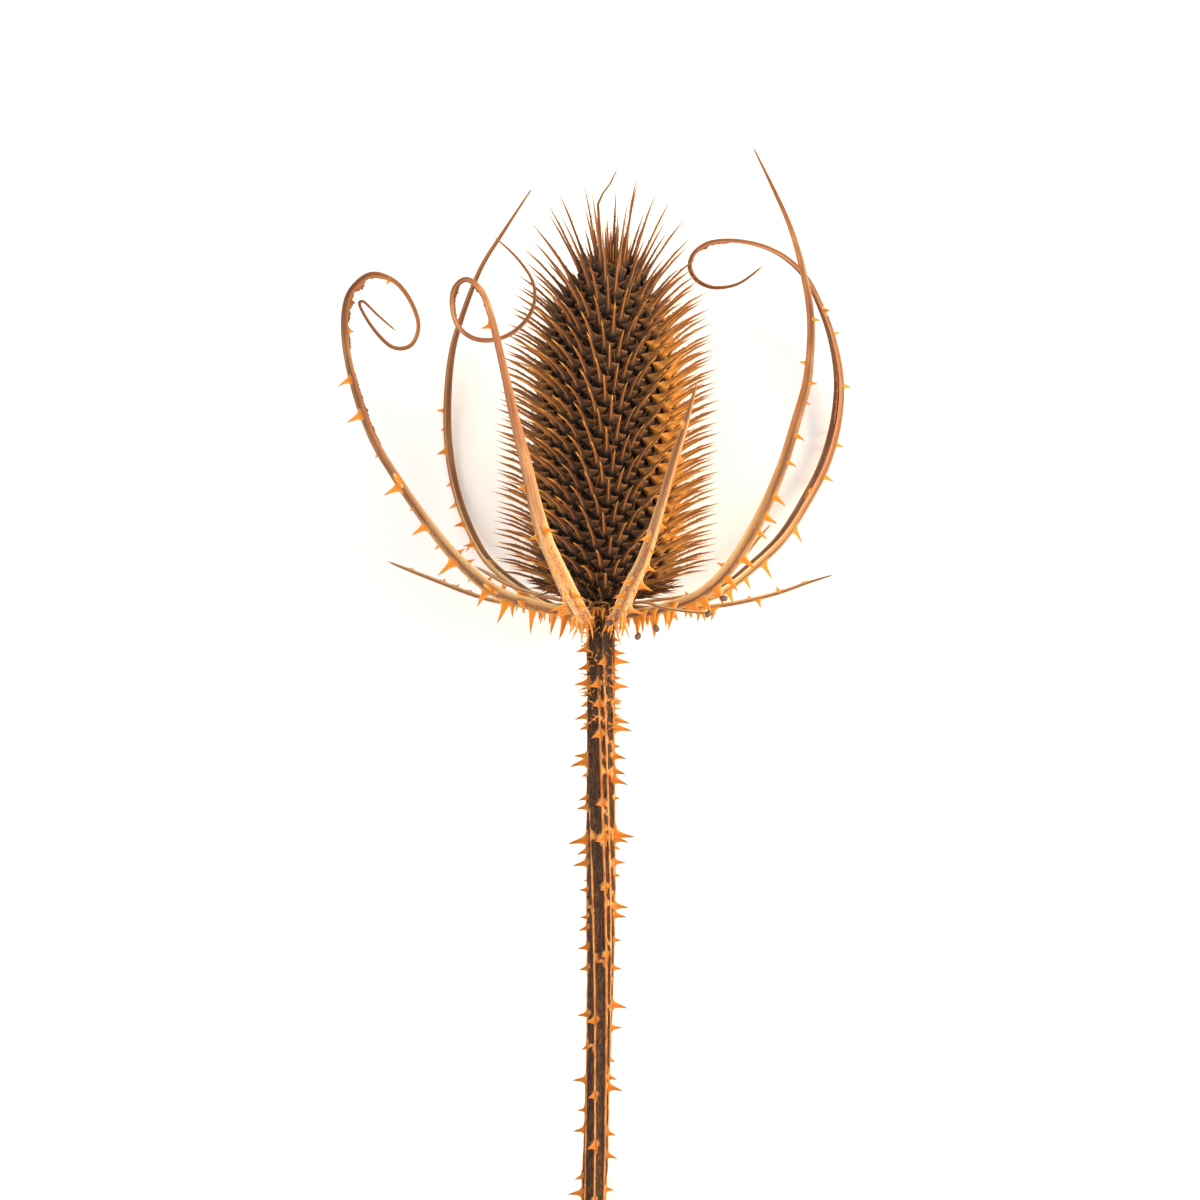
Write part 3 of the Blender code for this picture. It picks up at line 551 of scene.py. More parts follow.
# Low cross-ridges that join two ridges without a prickle: (height, ridge, next ridge)
stemBridges = [
    (-19.8, 18, 44), (-22.8, 18, 44), (-27.4, 44, 88), (-30.4, 18, 44), (-33.6, 18, 88),
    (-39.6, 18, 44), (-41.4, 18, 44), (-45.0, 18, 88), (-52.2, 44, 88), (-57.6, 44, 88),
    (-60.0, 18, 88), (-14.0, 44, 88), (-19.0, 44, 88), (-9.4, 18, 44), (-67.4, 18, 44),
    (-74.6, 44, 88), (-80.2, 18, 44), (-86.0, 44, 88), (-92.8, 18, 44), (-99.0, 44, 88),
    (-104.2, 18, 44), (-112.6, 44, 88), (-118.0, 18, 44), (-41.2, -88, -37), (-46.6, -37, 18),
    (-60.2, -88, -37), (-71.0, -37, 18), (-88.0, -88, -37),
]
stemPrickles = {            # (height, length) by the side that they stand out on
    -90: [
        (-8.8, 2.6), (-12.4, 2.4), (-15.6, 3.2), (-19.8, 1.9), (-22.2, 3.0), (-24.4, 2.1),
        (-30.2, 3.0), (-31.4, 4.0), (-34.0, 1.3), (-38.6, 1.9), (-40.4, 2.3), (-47.0, 4.1),
        (-49.2, 2.3), (-51.6, 3.1), (-57.0, 1.7), (-62.4, 1.5), (-64.6, 1.9), (-68.4, 2.1),
        (-72.6, 1.9), (-81.8, 2.3), (-88.4, 1.4), (-95.0, 3.0), (-101.0, 1.7), (-105.0, 2.5),
        (-114.4, 1.8), (-117.6, 2.9), (-122.6, 1.8),
    ],
    90: [
        (-9.6, 2.4), (-11.2, 3.5), (-16.2, 3.3), (-19.2, 1.8), (-23.0, 3.5), (-24.6, 3.9),
        (-28.2, 1.4), (-30.2, 2.8), (-33.2, 2.7), (-35.0, 3.0), (-38.6, 1.2), (-45.8, 4.2),
        (-46.8, 3.0), (-51.4, 2.2), (-54.0, 1.2), (-60.2, 3.0), (-62.0, 2.6), (-67.0, 1.5),
        (-72.6, 1.8), (-80.0, 3.3), (-84.6, 2.3), (-91.0, 1.3), (-94.4, 1.8), (-96.4, 3.1),
        (-105.6, 1.8), (-110.0, 2.2), (-116.8, 1.7), (-123.0, 2.4),
    ],
    0: [
        (-11.4, 2.2), (-15.8, 2.4), (-19.8, 1.8), (-25.8, 2.4), (-39.6, 2.0), (-46.6, 3.2),
        (-56.4, 2.0), (-70.0, 1.6), (-83.0, 2.2), (-98.0, 1.8), (-108.0, 2.4), (-119.0, 1.6),
    ],
}
backPrickles = {"count": 22, "bearings": (140, 220), "seed": 11}


def stemSpots():
    # bearing, height and length of every prickle, each moved to the nearest ridge
    rng = random.Random(backPrickles["seed"])
    spots = [(side, *spot) for side, rows in stemPrickles.items() for spot in rows]
    low, high = stemShape["stations"][0][0] + 4, -8
    count = backPrickles["count"]
    for index in range(count):
        height = low + (high - low) * (index + rng.random()) / count
        spots.append((rng.uniform(*backPrickles["bearings"]), height, rng.uniform(1.4, 2.6)))
    found = []
    for side, height, length in spots:
        twisted = stemShape["twist"] * (stemShape["ridgeHeight"] - height)
        angle = min(
            (ridge + twisted for ridge in stemShape["ridges"]),
            key=lambda ridge: abs((ridge - side + 180) % 360 - 180),
        )
        found.append((angle, height, length))
    return found


def stemRing(height, half, lean, spots):
    shape = stemShape
    twisted = shape["twist"] * (shape["ridgeHeight"] - height)
    near = [spot for spot in spots if abs(spot[1] - height) < 4]
    joined = [row for row in stemBridges if abs(row[0] - height) < 3]
    ridges = shape["ridges"]
    low, high = shape["fadeAbove"]
    dark = min(1.0, max(0.0, (height - low) / (high - low)))
    middle = Vector((lean, height, 0))
    points = []
    for here, following in zip(ridges, ridges[1:] + [ridges[0] + 360]):
        gap = following - here
        deep = shape["groove"] * gap / 45
        crest = shape["crestHalf"]
        always = [(0.0, 1.0)]
        clear = between(shape["faint"].get(here, always), height)
        nextClear = between(shape["faint"].get(following, always), height)
        rows = (
            (here, 0.0, clear),
            (here + crest, 0.15, 0.85 * clear),
            (here + crest * 2, 0.62, 0.25 * clear),
            (here + gap / 2, 1.0, 0.0),
            (following - crest * 2, 0.62, 0.25 * nextClear),
            (following - crest, 0.15, 0.85 * nextClear),
        )
        for angle, sunk, edge in rows:
            bridge = 0.0
            for bridgeHeight, first, last in joined:
                if first <= angle <= last:
                    # slanted, and thicker at both ends
                    way = (angle - first) / (last - first)
                    up = (height - bridgeHeight + 1.6 * (way - 0.5)) / (0.42 + 1.5 * (2 * way - 1) ** 4)
                    bridge = max(bridge, math.exp(-up * up))
            angle += twisted
            for spotAngle, spotHeight, length in near:
                upReach, roundReach, perLength = shape["bridgeReach"]
                away = abs((angle - spotAngle + 180) % 360 - 180) / (roundReach + perLength * length)
                up = (height - spotHeight - 0.3) / (upReach * (0.6 + 0.2 * length))
                bridge = max(bridge, math.exp(-away * away - up * up))
            out = bearing(angle)
            ripple = noise.noise((middle + out * half) * 0.45) * shape["wobble"] * 2
            reach = half - deep * sunk * (1 - 0.8 * bridge) + ripple
            grain = Vector((out.x * half, out.z * half, height))
            mark = max(edge, min(1.0, bridge * 1.25))
            points.append((middle + out * reach, grain, mark * (1 - 0.65 * dark), dark))
    return points


def buildStem():
    shape = stemShape
    halves = [(height, half) for height, half, _ in shape["stations"]]
    leans = [(height, lean) for height, _, lean in shape["stations"]]
    low, high = halves[0][0], halves[-1][0]
    spots = stemSpots()
    bm = newShape()
    count = int((high - low) / shape["step"])
    rings = []
    for index in range(count + 1):
        height = low + (high - low) * index / count
        rings.append(stemRing(height, between(halves, height), between(leans, height), spots))
    cutEnd = []
    centre = Vector((leans[0][1], low, 0))
    for part, sunk, pale in shape["cut"]:
        cutEnd.append([
            (centre + (spot - centre) * part + Vector((0, sunk, 0)), grain, pale, 0.0)
            for spot, grain, _, _ in rings[0]
        ])
    growBody(bm, cutEnd + rings)
    rng = random.Random(21)
    up = Vector((0, 1, 0))
    for angle, height, length in spots:
        out = bearing(angle)
        root = Vector((between(leans, height), height, 0)) + out * (between(halves, height) - 0.15)
        if abs((angle + 180) % 360 - 180) < 50:
            out = bearing(angle + shape["frontTurn"])
        lean = out + up * rng.uniform(-0.24, 0.02)
        bend = (rng.uniform(-0.22, 0.05), rng.uniform(-0.14, 0.14))
        addPrickle(bm, root, lean, up, length, 0.58 + 0.33 * length, 0.22 + 0.10 * length, bend)
    top, bottom = shape["hairZone"]
    for _ in range(shape["hairs"]):
        # curved bristles, crowded towards the top
        height = top + (bottom - top) * rng.random() ** 1.5
        out = bearing(rng.uniform(0, 360))
        root = Vector((between(leans, height), height, 0)) + out * (between(halves, height) - 0.35)
        bend = (rng.uniform(-0.8, 0.4), rng.uniform(-0.5, 0.5))
        reach = rng.uniform(1.2, 3.0)
        side = up.cross(out) * rng.uniform(-0.7, 0.7)
        addPrickle(bm, root, out + side + up * rng.uniform(-0.6, 0.5), up, reach, 0.10 + 0.05 * reach,
                   0.14, bend, hairTemplate)
    finishPiece("ridged_stem", bm, stemSkin, ["stem"])


buildStem()


# ---- seed head

headShape = {
    "core": [               # height, half thickness
        (1.2, 5.4), (1.8, 8.0), (3.4, 10.2), (6.2, 11.7), (11.0, 12.7), (20.0, 13.2),
        (36.0, 13.2), (48.0, 12.3), (56.0, 10.6), (61.5, 8.2), (65.5, 5.2), (67.8, 2.2),
    ],
    "coreInset": 0.7,
    "coreSides": 40,
    "lean": (1.0, 0.0155),
    "count": 520,
    "lowest": 3.6,
    "goldenAngle": 137.508,
    "rise": [
        (3.6, 12.0), (7.0, 17.0), (15.0, 23.0), (30.0, 26.0), (42.0, 27.0), (50.0, 31.0),
        (55.0, 35.0), (60.0, 42.0), (63.0, 50.0), (65.5, 61.0), (67.8, 86.0),
    ],
    "length": [
        (3.6, 11.6), (9.0, 11.0), (20.0, 10.7), (45.0, 10.7), (55.0, 10.9), (60.0, 12.2),
        (63.0, 15.6), (65.5, 19.0), (67.8, 19.8),
    ],
    "arch": [(56.0, 11.0), (65.0, 3.5)],
    "waist": 0.34,
    "seed": 5,
    "glowBearing": 84.0,     # the side of the head painted with the glow of light through it
    "glowSpread": 58.0,
    "glowEdge": 26.0,
    "glowHeights": [(4.0, 0.5), (14.0, 1.0), (48.0, 1.0), (58.0, 0.35), (64.0, 0.0)],
}
scaleShape = {
    # way along (below 0 it lies on the core), half width, height of the margins, depth of the keel, in mm
    "rings": [
        (-0.20, 0.40, 0.10, 0.15), (-0.05, 0.95, 0.32, 0.44), (0.08, 2.15, 1.05, 0.60),
        (0.105, 1.22, 0.90, 0.62), (0.15, 0.76, 0.52, 0.58), (0.23, 0.50, 0.25, 0.48),
        (0.38, 0.33, 0.12, 0.34), (0.64, 0.22, 0.09, 0.24), (0.90, 0.14, 0.05, 0.15),
    ],
    "footDrop": 2.2,        # mm down the core from the root
    "joins": 0.18,          # way along at which the foot meets the awn's own curve
    "teeth": 5,             # on each margin
    "toothLength": (0.45, 0.95),
    "kinds": 4,
}


def makeScaleTemplate(rng):
    # a keeled trough that narrows to an awn, seen straight: x across, y towards the keel, z along
    bm = bmesh.new()
    rings = scaleShape["rings"]
    ring = bmesh.ops.create_circle(bm, cap_ends=True, segments=6, radius=1.0)["verts"]
    face = ring[0].link_faces[0]
    for index, (way, half, margin, keel) in enumerate(rings):
        if index:
            grown = bmesh.ops.extrude_face_region(bm, geom=[face])["geom"]
            if index > 1:
                bmesh.ops.delete(bm, geom=[face], context="FACES_ONLY")
            face = next(item for item in grown if isinstance(item, bmesh.types.BMFace))
            fresh = [item for item in grown if isinstance(item, bmesh.types.BMVert)]
            ring = [min(fresh, key=lambda v, old=old: (v.co - old.co).length) for old in ring]
        outline = [(-half, -margin), (-half * 0.62, keel * 0.35), (0, keel), (half * 0.62, keel * 0.35),
                   (half, -margin), (0, min(0.0, keel - 0.5))]
        for vert, (x, y) in zip(ring, outline):
            vert.co = (x, y, way)
    bmesh.ops.pointmerge(bm, verts=ring, merge_co=(0, 0, 1))
    for side in (-1, 1):
        for index in range(scaleShape["teeth"]):
            way = 0.10 + 0.62 * (index + rng.random()) / scaleShape["teeth"]
            half = between([(row[0], row[1]) for row in rings], way)
            margin = between([(row[0], row[2]) for row in rings], way)
            cone = bmesh.ops.create_cone(bm, cap_ends=False, segments=3, radius1=0.08, radius2=0.0, depth=1.0)
            size = rng.uniform(*scaleShape["toothLength"])
            for vert in cone["verts"]:
                x, y, z = vert.co
                reach = (z + 0.5) * size
                vert.co = (side * (half * 0.92 + reach * 0.8) + x, -margin * 0.9 + y - reach * 0.5,
                           way + reach * 0.07 + y * 0.05)
    mesh = bpy.data.meshes.new("scale template")
    bm.to_mesh(mesh)
    bm.free()
    return mesh


def axisAt(height):
    start, rate = headShape["lean"]
    return Vector((start + rate * height, height, 0))


def scaleRoots(count):
    # height and bearing of each scale: even over the core's surface, in a golden spiral
    core, step = headShape["core"], 0.25
    heights, areas = [headShape["lowest"]], [0.0]
    while heights[-1] < core[-1][0] - step:
        height = heights[-1] + step
        half = between(core, height)
        slope = (half - between(core, height - step)) / step
        areas.append(areas[-1] + half * math.sqrt(1 + slope * slope))
        heights.append(height)
    table = [(area / areas[-1], height) for area, height in zip(areas, heights)]
    for index in range(count):
        yield between(table, (index + 0.5) / count), index * headShape["goldenAngle"]


def glowOn(height, angle):
    # 1 where the head is painted with the glow of light through it, 0 on its other sides
    away = abs((angle - headShape["glowBearing"] + 180) % 360 - 180)
    part = min(1.0, max(0.0, (headShape["glowSpread"] - away) / headShape["glowEdge"]))
    return part * between(headShape["glowHeights"], height)


def addScale(bm, template, height, angle, rng, tone, size=1.0):
    shape = headShape
    level, up = bearing(angle), Vector((0, 1, 0))
    across = up.cross(level)
    rise = between(shape["rise"], height) + rng.uniform(-2.5, 2.5)
    length = between(shape["length"], height) * rng.uniform(0.95, 1.05) * size
    root = axisAt(height) + level * between(shape["core"], height)

    def towards(degrees):
        return level * math.cos(math.radians(degrees)) + up * math.sin(math.radians(degrees))

    arch = between(shape["arch"], height)
    start = towards(min(rise + arch, 89))
    end = towards(rise - 0.4 * arch)
    waist = shape["waist"]
    middle = root + start * length * waist
    tip = middle + end * length * (1 - waist)
    pull = root + start * length * 0.52

    def curveAt(way):
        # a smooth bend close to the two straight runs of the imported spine
        spot = root * (1 - way) ** 2 + pull * 2 * way * (1 - way) + tip * way * way
        ahead = (pull - root) * (1 - way) + (tip - pull) * way
        return spot, ahead.normalized()

    # painted highlight: only the points that face the front or the back are bright, for the light they catch, and
    # none at the crown
    facing = min(1.0, 2 * level.z * level.z)
    brightest = 0.80 + 0.20 * facing * between([(54, 1.0), (60, 0.0)], height)
    stout = between([(54, 1.0), (62, 0.92)], height)
    joins = scaleShape["joins"]
    joinSpot, joinAhead = curveAt(joins)
    drop = max(1.4, height - scaleShape["footDrop"] * size)
    foot = axisAt(drop) + level * (between(shape["core"], drop) - 0.5)
    steep = (root - foot).normalized()
    reach = (joinSpot - foot).length * 0.38
    first, second = foot + steep * reach, joinSpot - joinAhead * reach

    def spotAt(way):
        if way >= joins:
            return curveAt(way)
        t = (way + 0.2) / (joins + 0.2)
        spot = foot * (1 - t) ** 3 + first * 3 * t * (1 - t) ** 2
        spot += second * 3 * t * t * (1 - t) + joinSpot * t ** 3
        ahead = (first - foot) * (1 - t) ** 2 + (second - first) * 2 * t * (1 - t)
        ahead += (joinSpot - second) * t * t
        return spot, ahead.normalized()

    def place(co):
        spot, ahead = spotAt(co.z)
        over = across.cross(ahead).normalized()
        wide = stout if co.z > 0.2 else min(1.0, 0.5 + size * 0.5)
        spot = spot + across * co.x * wide + over * co.y * (stout if co.z > 0.2 else 1.0)
        grain = Vector((co.x, co.y, co.z * length)) + Vector((height, angle % 97, 0))
        # painted highlight: pale rims on the corners of the margins and a pale keel line
        rim = 0.65 if 0.05 < co.z < 0.18 and co.y < -0.4 else 0.0
        if abs(co.x) < 0.05 and co.y > 0:
            rim = between([(0.0, 0.0), (0.075, 0.45), (0.15, 0.8), (0.23, 1.0)], co.z)
        return spot, {"grain": grain, "tip": min(brightest, (co.z + 0.2) / 1.2), "edge": rim, "tone": tone}

    addCopy(bm, template, place)


def buildHead():
    shape = headShape
    sides = shape["coreSides"]
    bm = newShape()
    rings = []
    for height, half in shape["core"]:
        half = max(half - shape["coreInset"], 1.0)
        ring = []
        for side in range(sides):
            spot = axisAt(height) + bearing(360 * side / sides) * half
            ring.append((spot, spot, 0.0, 0.5))
        rings.append(ring)
    growBody(bm, rings)
    finishPiece("receptacle", bm, coreSkin, ["seed_head"])

    rng = random.Random(shape["seed"])
    shades = random.Random(33)
    templates = [makeScaleTemplate(shades) for _ in range(scaleShape["kinds"])]
    bm = newShape()
    for index, (height, angle) in enumerate(scaleRoots(shape["count"])):
        # painted light: the right side gets the painted glow, and the left side a lighter tone
        paintedGlow = glowOn(height, angle)
        lit = glowOn(height, -angle)     # painted light on the left side too, less than the right's glow, so it keeps its brown
        tone = shades.uniform(0.2 + 0.7 * lit, 1.0 + 0.35 * lit) * (1 - paintedGlow)
        tone += shades.uniform(1.5, 2.0) * paintedGlow
        addScale(bm, templates[index % len(templates)], height, angle, rng, tone)
    up = Vector((0, 1, 0))
    finer = headBristles
    turns = random.Random(finer["seed"])
    for height, angle in scaleRoots(finer["count"]):
        # thin bristles of the withered flowers stand between the scales
        angle += finer["turned"] + turns.uniform(-6, 6)
        level = bearing(angle)
        rise = math.radians(between(shape["rise"], height) + turns.uniform(-6, 22))
        out = level * math.cos(rise) + up * math.sin(rise) + up.cross(level) * turns.uniform(-0.22, 0.22)
        root = axisAt(height) + level * (between(shape["core"], height) - 0.6)
        bend = (turns.uniform(-0.05, 0.25), turns.uniform(-0.15, 0.15))
        # painted light: bristles on the glowing side are painted lighter too
        paintedGlow = glowOn(height, angle)
        tone = turns.uniform(0.05, 0.5) * (1 - paintedGlow) + turns.uniform(0.8, 1.4) * paintedGlow
        addPrickle(bm, root, out, up, turns.uniform(*finer["length"]), 0.17, 0.15, bend, hairTemplate, tone)
    tuft = crownTuft
    for index in range(tuft["scales"]):
        addScale(bm, templates[index % len(templates)], turns.uniform(*tuft["heights"]),
                 index * shape["goldenAngle"], turns, turns.uniform(0.3, 0.9), turns.uniform(*tuft["size"]))
    for index in range(tuft["bristles"]):
        level = bearing(index * shape["goldenAngle"])
        root = axisAt(tuft["base"]) + level * tuft["spread"] * math.sqrt(index / tuft["bristles"])
        out = up + level * turns.uniform(0.05, 0.35)
        addPrickle(bm, root, out, level, turns.uniform(*tuft["length"]), 0.36, 0.34,
                   (turns.uniform(-0.1, 0.1), turns.uniform(-0.1, 0.1)), hairTemplate, turns.uniform(0.2, 0.9))
    kinked = [(0.4, 66.0, 1.6, 0.5), (0.0, 73.0, 2.5, 0.42), (-0.4, 80.0, 3.4, 0.30),
              (0.6, 82.2, 3.9, 0.25), (2.0, 84.0, 4.2, 0.24), (3.0, 86.1, 4.4, 0.16)]
    rings = []
    for x, y, z, half in kinked:
        centre = Vector((x, y, z))
        rings.append([(centre + bearing(turned) * half, centre, 0.0, 0.5) for turned in range(0, 360, 60)])
    growBody(bm, rings + [[(Vector(lie["highestTip"]),)]])
    tipLayer = bm.verts.layers.float["tip"]
    toneLayer = bm.verts.layers.float["tone"]
    for vert in bm.verts[-37:]:
        vert[tipLayer] = 0.7
        vert[toneLayer] = 0.5
    finishPiece("scales", bm, scaleSkin, ["seed_head"], 60)

    # dark withered scales and bristles under the lowest good ones
    skirt, turns = headSkirt, random.Random(headSkirt["seed"])
    bm = newShape()
    for index in range(skirt["scales"]):
        template = templates[index % len(templates)]
        height = turns.uniform(*skirt["scaleHeights"])
        addScale(bm, template, height, 360 * (index + turns.random()) / skirt["scales"], turns,
                 turns.uniform(0.0, 0.14), turns.uniform(*skirt["scaleSize"]))
    for _ in range(skirt["bristles"]):
        level = bearing(turns.uniform(0, 360))
        height = turns.uniform(*skirt["bristleHeights"])
        root = axisAt(height) + level * (between(shape["core"], height) - 1.2)
        out = level + up * turns.uniform(-0.12, 0.22) + up.cross(level) * turns.uniform(-0.4, 0.4)
        bend = (turns.uniform(-0.25, 0.35), turns.uniform(-0.3, 0.3))
        addPrickle(bm, root, out, up, turns.uniform(3.0, 8.0), 0.22, 0.20, bend, hairTemplate,
                   turns.choice((0.02, 0.05, 0.12, 0.5)))
    finishPiece("withered_skirt", bm, scaleSkin, [], 60)


headBristles = {"count": 430, "turned": 60.0, "length": (3.0, 6.8), "seed": 17}
crownTuft = {
    "scales": 12,
    "heights": (66.4, 67.6),
    "size": (0.35, 0.6),
    "bristles": 26,
    "base": 67.2,
    "spread": 3.6,
    "length": (3.5, 9.5),
}
headSkirt = {
    "scales": 46,
    "scaleHeights": (1.5, 3.6),
    "scaleSize": (0.45, 0.75),
    "bristles": 240,
    "bristleHeights": (1.3, 4.6),
    "seed": 12,
}
buildHead()


# ---- collar where the bracts meet

collarShape = {
    "profile": [(2.2, -3.2), (3.1, -2.9), (4.1, -1.9), (4.9, -0.6), (4.9, 0.5), (4.2, 1.2), (2.2, 1.5)],
    "steps": 40,
    "wobble": 0.45,
}


def buildCollar():
    bm = newShape()
    rows = collarShape["profile"]
    verts = [bmesh.ops.create_vert(bm, co=(r, y, 0))["vert"][0] for r, y in rows]
    edges = [bm.edges.new(pair) for pair in zip(verts, verts[1:])]
    bmesh.ops.spin(bm, geom=verts + edges, cent=(0, 0, 0), axis=(0, 1, 0), dvec=(0, 0, 0),
                   angle=math.tau, steps=collarShape["steps"], use_merge=True, use_duplicate=False)
    bmesh.ops.remove_doubles(bm, verts=bm.verts, dist=0.001)
    bmesh.ops.holes_fill(bm, edges=[edge for edge in bm.edges if edge.is_boundary], sides=0)
    for vert in bm.verts:
        lump = noise.noise(vert.co * 0.9) * collarShape["wobble"] * 2
        away = Vector((vert.co.x, 0, vert.co.z)).normalized()
        markVert(bm, vert, vert.co.copy(), edge=0.35 + 0.5 * noise.noise(vert.co * 0.7), tone=0.5)
        vert.co += away * lump
    finishPiece("bract_collar", bm, stemSkin, [])


buildCollar()


fringeShape = {
    "curls": 30,
    "rootHalf": 4.6,
    "rootHeights": (-0.8, 1.4),
    "length": (2.6, 5.4),
    "width": (0.7, 1.5),
    "steps": 8,
    # root, direction, length, width, first slope and turn, of those that show between the front bracts
    "fixed": [
        ((-2.7, -1.0, 5.6), (1, 0, 0.15), 5.4, 0.9, 62, -85), ((-2.3, -1.3, 5.9), (1, 0, 0.30), 3.8, 0.7, 40, -70),
        ((0.2, -0.3, 5.2), (1, 0, -0.2), 3.0, 0.6, 45, -130), ((-3.0, 0.3, 5.0), (-0.3, 0, 0.9), 2.6, 0.8, 70, -160),
        ((-1.2, 0.5, 5.0), (0.9, 0, 0.3), 4.0, 0.7, -10, 100), ((-2.0, -0.4, 5.4), (0.8, 0, 0.5), 3.2, 0.6, -20, 150),
    ],
    "daggers": [((-1.3, -0.8, 5.3), 2.9), ((0.5, -0.9, 5.2), 2.7), ((-0.5, -0.6, 4.9), 1.8)],
    "seed": 8,
}


def addCurl(bm, root, out, length, width, pitch, curl, rng):
    # a thin ribbon that leaves along out and turns over by curl degrees
    steps = fringeShape["steps"]
    grid = bmesh.ops.create_grid(bm, x_segments=steps, y_segments=1, size=1.0)["verts"]
    up = Vector((0, 1, 0))
    side = up.cross(out).normalized()
    lean = rng.uniform(-0.7, 0.7)
    spots, spot = [], root.copy()
    for index in range(steps + 1):
        spots.append(spot.copy())
        pitch += curl / steps
        step = out * math.cos(math.radians(pitch)) + up * math.sin(math.radians(pitch)) + side * lean * 0.5
        spot += step.normalized() * length / steps
    for vert in grid:
        way = (vert.co.x + 1) / 2
        half = width * 0.5 * (1 - 0.6 * way) * rng.uniform(0.5, 1.3) * (-1 if vert.co.y < 0 else 1)
        spot = spots[min(steps, round(way * steps))]
        vert.co = spot + side * half * 0.7 + up * half * 0.8
        markVert(bm, vert, Vector((half * 3, way, way * length)), edge=0.25, tone=rng.uniform(0.0, 0.5))
    faces = list({face for vert in grid for face in vert.link_faces})
    bmesh.ops.solidify(bm, geom=faces, thickness=0.12)


def buildFringe():
    shape = fringeShape
    rng = random.Random(shape["seed"])
    bm = newShape()
    for root, out, length, width, pitch, curl in shape["fixed"]:
        addCurl(bm, Vector(root), Vector(out).normalized(), length, width, pitch, curl, rng)
    for root, length in shape["daggers"]:
        lean = Vector((rng.uniform(-0.15, 0.15), -1, 0.15))
        addPrickle(bm, Vector(root), lean, Vector((1, 0, 0)), length, 0.5, 0.4, (0.0, 0.0), daggerTemplate)
    for index in range(shape["curls"]):
        out = bearing(360 * (index + rng.random()) / shape["curls"])
        root = Vector((0, rng.uniform(*shape["rootHeights"]), 0)) + out * shape["rootHalf"]
        curl = rng.choice((-1, 1)) * rng.uniform(20, 130)
        addCurl(bm, root, out, rng.uniform(*shape["length"]), rng.uniform(*shape["width"]),
                rng.uniform(-25, 25), curl, rng)
    finishPiece("withered_curls", bm, bractSkin, [])


buildFringe()


# ---- bracts

